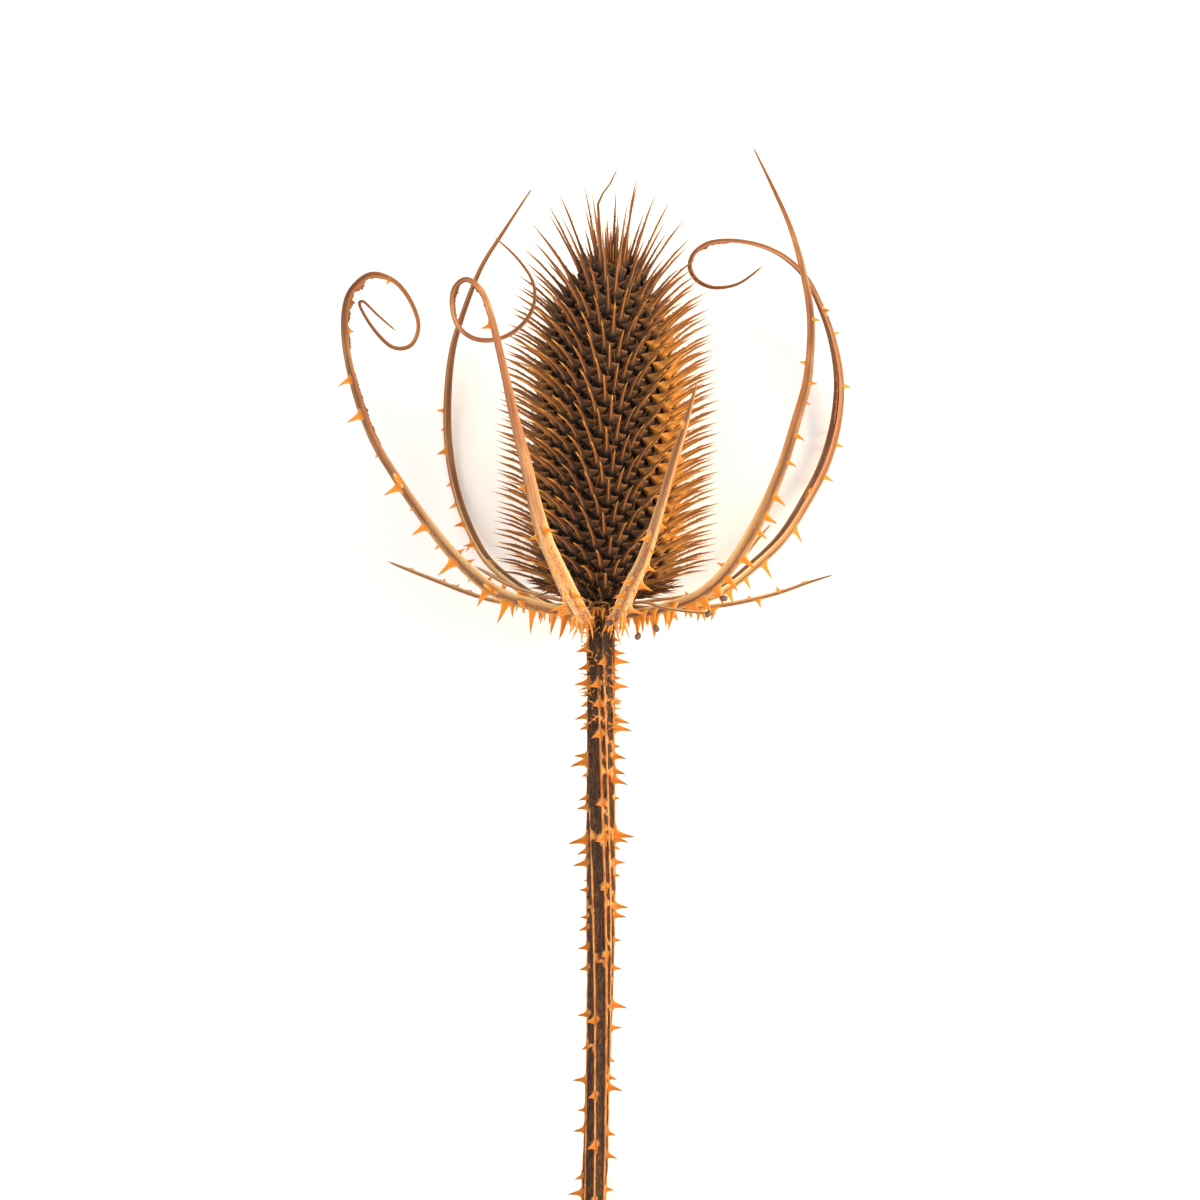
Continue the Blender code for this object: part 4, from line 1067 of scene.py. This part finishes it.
# A route point is (x, y, z, breadth). Prickles are (way along in mm, side, length), and torn
# strips are (from, to, side, width, share of the width that turns inwards).
bractShapes = {
    "bract_left_long": {
        "route": [
            (-3.5, -1.8, 0.3, 2.1), (-7.5, -1.0, 1.9, 2.6), (-14.8, 0.7, 4.4, 3.0),
            (-21.8, 3.6, 6.2, 3.0), (-28.8, 9.9, 7.6, 2.7), (-34.8, 17.3, 8.8, 2.3),
            (-40.1, 25.0, 9.8, 2.0), (-44.8, 32.8, 10.4, 1.8), (-47.9, 40.9, 10.8, 1.7),
            (-50.1, 50.0, 11.0, 1.6), (-50.6, 57.2, 11.0, 1.5), (-49.4, 62.2, 10.8, 1.4),
            (-45.6, 65.5, 10.5, 1.25), (-41.2, 64.4, 10.2, 1.1), (-38.0, 60.8, 10.0, 1.0),
            (-36.2, 55.8, 9.8, 0.95), (-37.6, 51.8, 9.6, 0.95), (-41.2, 51.4, 9.5, 0.9),
            (-44.9, 54.9, 9.5, 0.8), (-47.6, 59.4, 9.8, 0.7), (-46.9, 60.3, 10.6, 0.6),
            (-44.0, 57.5, 10.8, 0.5), (-40.2, 54.2, 10.6, 0.35),
        ],
        "depth": 0.8,
        "prickles": [
            (97.4, "right_in", 1.2), (80.3, "right_in", 1.6), (70.6, "keel", 2.2),
            (63.3, "keel", 2.6), (55.0, "left", 1.8), (48.5, "right", 2.6),
            (47.3, "keel", 2.8), (42.0, "left", 2.0), (37.9, "keel", 2.8), (33.0, "left", 2.2),
            (29.6, "right_in", 1.8), (29.0, "keel", 3.6), (26.9, "right_in", 1.8),
            (24.0, "left", 2.4), (21.4, "right_in", 1.4), (20.4, "keel", 3.0),
            (20.0, "right", 2.6), (17.8, "right_in", 1.2), (16.1, "keel", 4.0),
            (13.4, "right", 2.8), (10.5, "keel", 5.0), (8.6, "left", 2.6), (6.0, "keel", 4.4),
            (4.8, "right", 3.4), (3.6, "keel", 5.2), (1.6, "right", 3.8),
        ],
        "torn": [(76, 97, "right", 1.5, 0.9), (56, 72, "right", 0.8, 0.8)],
    },
    "bract_left_back": {
        "route": [
            (-2.25, -1.8, -2.7, 1.9), (-8.0, -0.9, -8.0, 2.1), (-14.2, 2.2, -13.8, 2.1),
            (-19.8, 6.2, -19.0, 2.0), (-23.7, 10.2, -22.5, 1.9), (-27.0, 16.5, -25.6, 1.85),
            (-29.6, 24.3, -27.8, 1.75), (-31.0, 33.2, -28.8, 1.7), (-31.1, 42.0, -28.8, 1.6),
            (-30.3, 50.6, -28.0, 1.4), (-28.5, 57.5, -26.8, 1.2), (-24.4, 68.0, -24.0, 0.95),
            (-20.0, 75.0, -21.2, 0.75), (-13.7, 84.3, -17.0, 0.3),
        ],
        "depth": 0.85,
        "prickles": [
            (63.9, "keel", 1.6), (63.2, "left", 1.5), (60.1, "keel", 1.0),
            (55.6, "right", 1.6), (49.1, "keel", 1.7), (44.8, "keel", 2.1),
            (40.0, "right", 1.9), (35.9, "keel", 2.2), (35.0, "right", 1.8),
            (29.8, "left", 1.8), (29.2, "right_in", 1.6), (24.0, "keel", 2.8),
            (19.0, "keel", 3.2), (16.0, "left", 2.4), (12.5, "keel", 3.8), (9.0, "right", 3.2),
            (6.2, "keel", 4.4), (2.8, "keel", 4.6),
        ],
    },
    "bract_front_left": {
        "route": [
            (-1.9, -2.5, 2.95, 2.2), (-3.2, -2.8, 8.5, 3.2), (-4.0, -1.8, 14.5, 3.6),
            (-5.3, 0.4, 20.5, 3.7), (-7.3, 4.5, 25.2, 3.6), (-9.3, 9.0, 28.0, 3.3),
            (-11.0, 13.0, 29.8, 3.1), (-12.9, 19.5, 31.3, 2.85), (-14.9, 28.5, 32.0, 2.4),
            (-17.0, 37.0, 31.6, 2.0), (-18.7, 45.0, 30.6, 1.65), (-20.2, 51.5, 29.8, 1.5),
            (-21.5, 56.8, 29.2, 1.35), (-23.3, 61.5, 28.8, 1.25), (-26.1, 63.9, 28.4, 1.15),
            (-28.5, 62.4, 28.0, 1.05), (-29.1, 59.0, 27.4, 1.0), (-28.0, 55.0, 26.6, 1.0),
            (-25.2, 52.6, 25.8, 0.95), (-21.5, 52.1, 25.2, 0.95), (-17.5, 53.4, 24.8, 0.9),
            (-14.2, 56.5, 24.6, 0.85), (-12.8, 60.2, 24.5, 0.75), (-13.4, 64.2, 24.4, 0.65),
            (-16.6, 68.7, 24.2, 0.5), (-21.1, 72.8, 24.0, 0.3),
        ],
        "depth": 0.5,
        "prickles": [
            (78.9, "left", 1.6), (46.1, "left", 1.2), (37.1, "right", 2.2),
            (36.2, "left", 1.4), (28.7, "keel", 2.2), (23.2, "keel", 2.6),
            (21.7, "right", 2.4), (18.4, "left", 3.2), (14.6, "keel", 4.0),
            (13.0, "right", 2.6), (10.5, "left", 3.6), (7.4, "keel", 4.8), (5.5, "right", 4.0),
            (4.6, "left", 4.2), (2.6, "keel", 4.6),
        ],
        "torn": [(79, 89, "left", 1.0, 0.2), (90, 99, "left", 1.1, 0.1)],
        "shaded": 0.15,
        "creamy": 1.0,
    },
    "bract_front_right": {
        "route": [
            (1.9, -2.4, 2.95, 2.2), (3.2, -2.6, 8.5, 3.0), (4.2, -1.6, 14.5, 3.3),
            (5.2, 1.0, 20.2, 3.3), (6.6, 4.2, 23.8, 3.2), (8.4, 8.0, 26.6, 2.8),
            (10.1, 12.8, 28.8, 2.4), (11.9, 18.8, 30.2, 2.0), (13.4, 24.0, 30.8, 1.85),
            (15.2, 30.2, 30.6, 1.65), (17.0, 36.0, 29.6, 1.3), (19.2, 44.2, 27.5, 0.3),
        ],
        "depth": 0.5,
        "prickles": [
            (57.5, "left", 0.9), (51.0, "right", 1.0), (37.1, "right", 1.2),
            (34.3, "left", 1.9), (32.2, "keel", 1.8), (28.0, "right", 1.6),
            (24.2, "left", 1.9), (23.6, "right", 2.4), (23.0, "keel", 2.2),
            (20.1, "left", 1.8), (17.0, "left", 2.2), (15.0, "right", 3.0),
            (12.0, "keel", 4.2), (9.5, "left", 3.6), (7.0, "right", 4.2), (5.4, "keel", 5.0),
            (2.8, "left", 4.0), (1.8, "keel", 4.0),
        ],
        "shaded": 0.25,
        "creamy": 1.0,
        "leftCream": 0.1,       # painted light: only its right half, towards the light, is creamy
        "creamTo": 90.0,
    },
    "bract_right_tall": {
        "route": [
            (3.5, -1.8, 0.3, 2.1), (9.0, -1.2, 3.2, 2.5), (14.1, 0.1, 5.2, 2.7),
            (19.5, 2.1, 7.0, 2.8), (24.5, 6.3, 8.4, 2.9), (29.0, 12.6, 9.6, 2.8),
            (33.1, 20.5, 10.6, 2.5), (36.3, 28.4, 11.2, 2.3), (39.0, 37.2, 11.6, 2.1),
            (40.9, 44.0, 11.6, 1.9), (41.7, 51.5, 11.3, 1.7), (41.6, 58.5, 10.8, 1.6),
            (40.2, 66.5, 10.0, 1.4), (37.8, 75.0, 8.8, 1.1), (34.6, 82.5, 7.6, 0.8),
            (30.3, 91.6, 6.0, 0.3),
        ],
        "depth": 0.8,
        "prickles": [
            (79.0, "keel", 1.2), (70.3, "left_in", 1.4), (66.5, "keel", 1.4),
            (62.6, "keel", 1.0), (55.8, "keel", 1.8), (50.3, "keel", 1.7), (43.0, "keel", 2.4),
            (38.7, "keel", 2.4), (35.4, "keel", 2.0), (29.4, "keel", 3.0),
            (26.1, "left_in", 1.9), (24.5, "keel", 3.0), (21.6, "keel", 3.2),
            (18.4, "keel", 3.4), (16.2, "left_in", 1.2), (15.4, "keel", 2.4),
            (12.7, "left", 4.2), (10.5, "keel", 2.8), (8.3, "keel", 5.2), (6.2, "left", 4.4),
            (4.4, "keel", 4.6), (1.8, "left", 4.0),
        ],
    },
    "bract_right_outer": {
        "route": [
            (2.25, -1.8, -2.7, 1.9), (9.0, -1.0, -6.0, 2.2), (16.0, 0.2, -8.8, 2.3),
            (23.9, 2.8, -12.5, 2.4), (30.6, 7.8, -17.2, 2.5), (36.8, 13.7, -21.8, 2.5),
            (41.7, 21.1, -26.0, 2.5), (45.6, 28.6, -28.8, 2.5), (48.0, 36.9, -30.4, 2.4),
            (48.7, 45.5, -30.6, 2.1), (47.4, 53.6, -29.4, 1.7), (44.9, 60.6, -27.4, 1.4),
            (41.4, 66.9, -24.6, 1.2), (35.9, 71.3, -21.0, 1.1), (29.2, 73.3, -17.6, 1.0),
            (22.9, 73.2, -14.8, 0.95), (19.3, 71.2, -13.2, 0.95), (18.1, 68.2, -12.2, 0.95),
            (19.4, 65.5, -11.6, 0.9), (22.2, 64.0, -11.2, 0.8), (25.6, 64.0, -11.0, 0.7),
            (28.9, 65.2, -10.8, 0.55), (33.1, 68.5, -10.6, 0.3),
        ],
        "depth": 0.8,
        "prickles": [
            (101.7, "left_in", 1.0), (95.0, "left", 1.2), (89.6, "keel", 1.3),
            (79.0, "keel", 1.8), (70.0, "right", 1.4), (67.2, "keel", 1.8),
            (60.3, "keel", 2.2), (55.3, "left_in", 2.0), (51.0, "right", 1.8),
            (47.1, "keel", 3.0), (41.0, "right", 2.0), (36.7, "keel", 3.2),
            (31.2, "keel", 2.2), (26.4, "keel", 2.8), (23.0, "left", 2.6), (19.7, "keel", 3.2),
            (16.0, "left", 3.4), (13.0, "keel", 4.2), (9.0, "keel", 4.6), (5.6, "left", 4.0),
            (3.0, "keel", 4.4),
        ],
        "torn": [(69, 82, "left", 1.5, 0.95), (99, 104, "left", 1.3, 0.95), (121, 131, "left", 0.9, 0.9)],
    },
    "bract_left_low": {
        "route": [
            (-3.4, 0.1, -0.9, 1.1), (-10.0, 0.1, -2.2, 1.2), (-18.9, 0.6, -3.4, 1.1),
            (-25.1, 2.1, -3.8, 1.05), (-32.5, 4.9, -3.8, 0.95), (-38.2, 7.1, -3.6, 0.8),
            (-42.9, 8.9, -3.4, 0.3),
        ],
        "depth": 0.8,
        "prickles": [
            (35.8, "right_in", 0.7), (29.0, "right_in", 1.0), (26.1, "right_in", 1.0),
            (23.2, "right_in", 0.8), (12.0, "keel", 1.6), (6.0, "keel", 2.2),
        ],
    },
    "bract_right_low": {
        "route": [
            (3.5, 0.1, 0.2, 1.1), (9.0, -0.4, 0.7, 1.2), (15.0, -0.5, 1.2, 1.2),
            (21.7, -0.2, 1.6, 1.2), (28.3, 0.8, 1.8, 1.1), (35.7, 2.6, 1.9, 0.95),
            (41.5, 4.6, 1.9, 0.75), (47.0, 6.2, 1.8, 0.3),
        ],
        "depth": 0.8,
        "prickles": [
            (37.9, "left_in", 0.7), (32.6, "left_in", 1.2), (28.2, "keel", 1.5),
            (26.6, "left_in", 0.9), (19.2, "keel", 2.2), (16.4, "keel", 2.2),
            (13.9, "keel", 1.8), (10.0, "keel", 3.0), (6.0, "keel", 3.4),
        ],
    },
    "bract_left_thin": {
        "route": [
            (-2.8, 0.3, -2.2, 0.9), (-8.5, 1.2, -5.8, 0.9), (-14.8, 2.9, -8.9, 0.9),
            (-18.5, 4.2, -10.6, 0.85), (-22.2, 6.2, -12.2, 0.8), (-25.5, 8.0, -13.4, 0.3),
        ],
        "depth": 0.8,
        "prickles": [],
    },
    "bract_right_thin": {
        "route": [
            (3.25, 0.3, -1.3, 0.9), (10.0, 0.9, -1.7, 0.9), (20.0, 2.6, -1.2, 0.9),
            (25.0, 6.2, -0.7, 0.85), (28.7, 9.9, -0.3, 0.8), (31.4, 13.2, 0.0, 0.7),
            (34.2, 16.3, 0.2, 0.3),
        ],
        "depth": 0.8,
        "prickles": [],
    },
    "bract_front_thin": {
        "route": [
            (2.6, 0.1, 2.4, 0.8), (6.0, 0.5, 8.6, 0.8), (9.1, 0.6, 11.6, 0.75),
            (13.0, -0.5, 13.5, 0.7), (18.7, -1.3, 14.6, 0.65), (23.5, -1.7, 15.0, 0.3),
        ],
        "depth": 0.9,
        "prickles": [],
    },
    "bract_back": {
        "route": [
            (0.0, -1.8, -3.5, 1.7), (2.2, -1.6, -11.0, 1.9), (4.6, -0.2, -17.4, 1.9),
            (6.2, 2.8, -22.0, 1.8), (7.2, 7.0, -24.4, 1.6), (8.3, 13.0, -25.4, 1.4),
            (9.4, 20.0, -26.0, 1.2), (10.4, 27.0, -26.0, 0.9), (11.4, 33.0, -25.2, 0.3),
        ],
        "depth": 0.6,
        "prickles": [
            (24.0, "right", 1.4), (20.0, "left", 1.6), (12.0, "right", 2.4),
            (9.6, "keel", 3.4), (6.0, "keel", 4.0), (3.0, "left", 3.2),
        ],
    },
}
bractSkill = {
    "stepsPerSpan": 14,
    "longestStep": 1.3,     # mm between sections
    "mostTurn": 7.0,        # degrees between sections
    "wobble": 0.05,         # unevenness of the breadth
    "sides": {              # parts across and inwards that a prickle points
        "keel": (0.0, -1.0), "left": (0.9, -0.35), "right": (-0.9, -0.35),
        "left_in": (0.75, 0.65), "right_in": (-0.75, 0.65),
    },
    "creamTo": 48.0,        # mm over which a creamy base turns to the usual tan
    "hangTo": 15.0,         # mm from the base within which the prickles hang down the stem
    "stretched": 1.25,      # times the listed length, for the very thin ends of the others
    "extra": {              # small prickles between the listed ones, on the broad bracts only
        "perMm": 0.36, "upTo": 21.0, "length": (1.6, 3.4), "leastBreadth": 1.8,
    },
}


def smoothRoute(route):
    # close points (place, breadth) on a Catmull-Rom curve
    rows = [Vector(row) for row in route]
    rows = [2 * rows[0] - rows[1]] + rows + [2 * rows[-1] - rows[-2]]
    steps = bractSkill["stepsPerSpan"]
    found = []
    for before, here, there, after in zip(rows, rows[1:], rows[2:], rows[3:]):
        for step in range(steps):
            t = step / steps
            found.append(0.5 * (
                2 * here
                + (there - before) * t
                + (2 * before - 5 * here + 4 * there - after) * t * t
                + (3 * here - before - 3 * there + after) * t * t * t
            ))
    found.append(rows[-2])
    return found


def stationsOf(route):
    # (place, breadth, along, inner side, distance), closer where the route turns
    close = smoothRoute(route)
    places = [row.xyz for row in close]
    along = lastAlong = (places[1] - places[0]).normalized()
    inner = Vector((0, 1, 0))
    inner = (inner - inner.dot(along) * along).normalized()
    stations = [(places[0], close[0].w, along, inner, 0.0)]
    distance = 0.0
    for index in range(1, len(places)):
        distance += (places[index] - places[index - 1]).length
        following = places[min(index + 1, len(places) - 1)]
        ahead = (following - places[index - 1]).normalized()
        inner = along.rotation_difference(ahead).to_matrix() @ inner
        along = ahead
        turned = math.degrees(lastAlong.angle(along))
        far = distance - stations[-1][4] > bractSkill["longestStep"]
        if turned > bractSkill["mostTurn"] or far or index == len(places) - 1:
            stations.append((places[index], close[index].w, along, inner, distance))
            lastAlong = along
    return stations


def stationAt(stations, distance):
    for low, high in zip(stations, stations[1:]):
        if distance <= high[4]:
            break
    part = (distance - low[4]) / (high[4] - low[4])
    return [here + (there - here) * part for here, there in zip(low, high)]


def bractRing(station, total, row, seed):
    # a hollow inner face, two margins and a keel outside; nearly round towards the tip
    place, breadth, along, inner, distance = station
    depth, shaded = row["depth"], row.get("shaded", 0.8)
    creamy, creamTo = row.get("creamy", 0.0), row.get("creamTo", bractSkill["creamTo"])
    across = along.cross(inner)
    slender = min(1.0, distance / (0.6 * total))
    deep = breadth * (depth + (0.95 - depth) * slender)
    dish = 0.02 + 0.25 * slender
    breadth *= 1 + bractSkill["wobble"] * noise.noise(Vector((distance * 0.35, seed, 0)))
    outline = [             # across, inwards, rim, shade
        (-0.50, 0.30, 1.0, 0.0), (-0.40, 0.28, 0.3, 0.5), (-0.20, dish * 0.55 + 0.11, 0.0, 0.7),
        (0.0, dish, 0.0, 0.7), (0.20, dish * 0.55 + 0.11, 0.0, 0.7), (0.40, 0.28, 0.3, 0.5),
        (0.50, 0.30, 1.0, 0.0), (0.48, 0.12, 0.6, 0.3), (0.36, -0.24, 0.0, 1.0), (0.18, -0.44, 0.0, 0.5),
        (0.05, -0.61, 0.5, 0.0), (-0.05, -0.61, 0.5, 0.0), (-0.18, -0.44, 0.0, 0.5),
        (-0.36, -0.24, 0.0, 1.0), (-0.48, 0.12, 0.6, 0.3),
    ]
    patch = 0.55 + 0.9 * noise.noise(Vector((distance * 0.06, seed * 3, 7)))
    ring = []
    for index, (x, y, rim, dull) in enumerate(outline):
        jag = 1 + 0.06 * rim * noise.noise(Vector((distance * 1.7, seed + index, 3)))
        spot = place + across * breadth * x * jag + inner * deep * y
        grain = Vector((x * breadth + seed * 7, y * deep, distance))
        # painted shade on the flanks and the hollow face, more on the bracts set as shaded; the creamy part is the
        # paler base with painted light near it on the front bracts
        shade = min(1.0, max(0.0, dull * shaded * (0.5 + patch)))
        pale = creamy if x < 0.1 else creamy * row.get("leftCream", 1.0)
        shade -= pale * max(0.0, 1 - distance / creamTo) * (0.75 + 0.25 * patch)
        ring.append((spot, grain, rim * (1 - 0.35 * slender), shade))
    return ring


def addTornStrip(bm, stations, start, end, side, width, inwards, rng):
    # a thin ragged flap of skin that has come away from one margin
    sign = {"left": 1, "right": -1}[side]
    count = int((end - start) / 0.3)
    grid = bmesh.ops.create_grid(bm, x_segments=count, y_segments=1, size=1.0)["verts"]
    for vert in grid:
        way = (vert.co.x + 1) / 2
        outer = vert.co.y > 0
        place, breadth, along, inner, _ = stationAt(stations, start + (end - start) * way)
        across = along.cross(inner)
        swell = 0.55 + 0.9 * noise.noise(Vector((way * (end - start) * 0.45, start, 0)))
        spread = math.sin(math.pi * way) ** 0.5 * width * swell * rng.uniform(0.35, 1.0) if outer else -0.2
        spot = place + across * sign * (breadth * 0.40 + spread * (1 - inwards))
        vert.co = spot + inner * (breadth * 0.28 + spread * inwards)
        markVert(bm, vert, Vector((spread, start, way * (end - start))), edge=0.0, tone=1.0)
    faces = list({face for vert in grid for face in vert.link_faces})
    bmesh.ops.solidify(bm, geom=faces, thickness=0.14)


def buildBract(node, seed):
    row = bractShapes[node]
    stations = stationsOf(row["route"])
    total = stations[-1][4]
    rng = random.Random(seed)
    bm = newShape()
    first = stations[0]
    sunk = (first[0] - first[2] * 0.9, first[1], first[2], first[3], 0.0)
    rings = [bractRing(station, total, row, seed) for station in [sunk] + stations[:-1]]
    growBody(bm, rings + [[(stations[-1][0],)]])
    extra = bractSkill["extra"]
    more = []
    if row["route"][1][3] > extra["leastBreadth"]:
        for index in range(int(extra["perMm"] * extra["upTo"])):
            distance = 1.5 + (index + rng.random()) / extra["perMm"]
            more.append((distance, rng.choice(("keel", "left", "right")), rng.uniform(*extra["length"])))
    down = Vector((0, -1, 0))
    for distance, side, length in row["prickles"] + more:
        place, breadth, along, inner, _ = stationAt(stations, distance)
        across = along.cross(inner)
        sideways, inwards = bractSkill["sides"][side]
        out = (across * sideways + inner * inwards).normalized()
        reach = breadth * (0.36 * abs(sideways) + 0.5 * row["depth"] * max(0.0, -inwards))
        root = place + out * reach
        hanging = distance < bractSkill["hangTo"] and "in" not in side
        if not hanging and (toFloor @ (root + out * length * bractSkill["stretched"])).z > 0:
            length *= bractSkill["stretched"]
        long = min(0.6 + 0.32 * length, 1.9)
        wide = min(0.24 + 0.10 * length, breadth * 0.36)
        bend = (rng.uniform(-0.28, 0.10), rng.uniform(-0.18, 0.18))
        shape = prickleTemplate
        if hanging:
            out = out * 0.45 + down + Vector((rng.uniform(-0.12, 0.12), 0, rng.uniform(-0.12, 0.12)))
            out.normalize()
            shape = daggerTemplate
            long, wide = 0.42 + 0.13 * length, 0.30 + 0.05 * length
            bend = (rng.uniform(-0.15, 0.15), rng.uniform(-0.15, 0.15))
        addPrickle(bm, root, out + along * rng.uniform(-0.12, 0.12), along, length, long, wide, bend, shape)
    for start, end, side, width, inwards in row.get("torn", []):
        addTornStrip(bm, stations, start, end, side, width, inwards, rng)
    surface = BVHTree.FromBMesh(bm)
    finishPiece(node + "_skin", bm, bractSkin, [node])
    return surface


bractSurfaces = [buildBract(node, seed + 1) for seed, node in enumerate(bractShapes)]


# ---- seeds caught among the lowest prickles

seedShape = {
    "places": [(24.6, 1.35), (21.4, -1.8), (11.2, -4.6), (7.6, -6.2), (1.9, -3.6)],   # seen from the front
    "nearest": 20.0,        # mm in front of the stem, from which each is pushed back until it touches
    "farthest": -4.0,
    "touch": 0.5,
    "length": 1.75,
    "half": 0.62,
}


def seedRest(x, y):
    # the place at which a seed pushed back from the front first touches a bract or a prickle
    for reach in (seedShape["touch"], 0.8, 1.2, 2.0):
        z = seedShape["nearest"]
        while z > seedShape["farthest"]:
            spot = Vector((x, y, z))
            found = [surface.find_nearest(spot, reach)[0] for surface in bractSurfaces]
            found = [point for point in found if point]
            if found:
                point = min(found, key=lambda place: (place - spot).length)
                gap = (point - spot).length - seedShape["touch"]
                return spot + (point - spot).normalized() * max(0.0, gap)
            z -= 0.15
    return Vector((x, y, 0))


def buildSeeds():
    bm = newShape()
    rng = random.Random(4)
    for x, y in seedShape["places"]:
        centre = seedRest(x, y)
        print("seed at", [round(c, 2) for c in centre])
        start = len(bm.verts)
        bmesh.ops.create_icosphere(bm, subdivisions=2, radius=1.0)
        tilt = Matrix.Rotation(rng.uniform(0, 6.28), 3, "Z") @ Matrix.Rotation(rng.uniform(0, 0.6), 3, "X")
        for vert in bm.verts[start:]:
            unit = vert.co.copy()
            grain = Vector((unit.x, unit.z, unit.y * 2)) + centre
            unit.x *= seedShape["half"] * (1 - 0.25 * unit.y)
            unit.z *= seedShape["half"] * (1 - 0.25 * unit.y)
            unit.y *= seedShape["length"] / 2
            vert.co = centre + tilt @ unit
            markVert(bm, vert, grain)
    finishPiece("caught_seeds", bm, seedSkin, [])


buildSeeds()
print("plant finished")


# ---- floor, light and camera

studio = {
    "floorSize": 12.0,
    "floor": (250, 249, 247),
    "sky": 0.93,
    "keyPower": 16.0,
    "keyColour": (255, 226, 190),
    "keyPlace": (0.86, 0.16, 0.46),
    "keySize": (0.35, 0.5),
    "fillPower": 6.0,
    "fillPlace": (-0.7, -0.35, 0.75),
    "cameraAway": 1.6,
    "field": 0.24,
    "aim": (0.0, 1.0, 0.0),      # mm in the plant's frame
}


def buildStudio():
    bm = bmesh.new()
    bmesh.ops.create_grid(bm, x_segments=4, y_segments=4, size=studio["floorSize"] / 2)
    bmesh.ops.translate(bm, vec=(0, 0, -0.0003), verts=bm.verts)
    mesh = bpy.data.meshes.new("floor")
    bm.to_mesh(mesh)
    bm.free()
    floor = bpy.data.objects.new("floor", mesh)
    bpy.context.scene.collection.objects.link(floor)
    paper = bpy.data.materials.new("pale floor")
    paper.use_nodes = True
    shader = paper.node_tree.nodes["Principled BSDF"]
    shader.inputs["Base Color"].default_value = rgb(*studio["floor"])
    shader.inputs["Roughness"].default_value = 0.9
    shader.inputs["Specular IOR Level"].default_value = 0.1
    mesh.materials.append(paper)

    world = bpy.data.worlds.new("studio")
    world.use_nodes = True
    background = world.node_tree.nodes["Background"]
    background.inputs["Color"].default_value = (1.0, 0.995, 0.99, 1.0)
    background.inputs["Strength"].default_value = studio["sky"]
    bpy.context.scene.world = world

    for name, power, place, size, colour in (
        ("key", studio["keyPower"], studio["keyPlace"], studio["keySize"], studio["keyColour"]),
        ("fill", studio["fillPower"], studio["fillPlace"], (0.9, 0.9), (255, 248, 240)),
    ):
        light = bpy.data.lights.new(name, "AREA")
        light.shape = "RECTANGLE"
        light.size, light.size_y = size
        light.energy = power
        light.color = rgb(*colour)[:3]
        lamp = bpy.data.objects.new(name, light)
        lamp.location = place
        lamp.rotation_euler = (Vector((0, 0.02, 0.02)) - Vector(place)).to_track_quat("-Z", "Y").to_euler()
        bpy.context.scene.collection.objects.link(lamp)

    camera = bpy.data.cameras.new("camera")
    camera.sensor_width = 36
    camera.lens = 36 * studio["cameraAway"] / studio["field"]
    camera.clip_start, camera.clip_end = 0.05, 60
    viewer = bpy.data.objects.new("camera", camera)
    aim = toFloor @ Vector(studio["aim"])
    viewer.matrix_world = Matrix.Translation(aim) @ turn @ Matrix.Translation((0, 0, studio["cameraAway"]))
    bpy.context.scene.collection.objects.link(viewer)
    bpy.context.scene.camera = viewer
    view = bpy.context.scene.view_settings
    view.view_transform = "Standard"
    view.look = "None"


buildStudio()
print("studio ready")
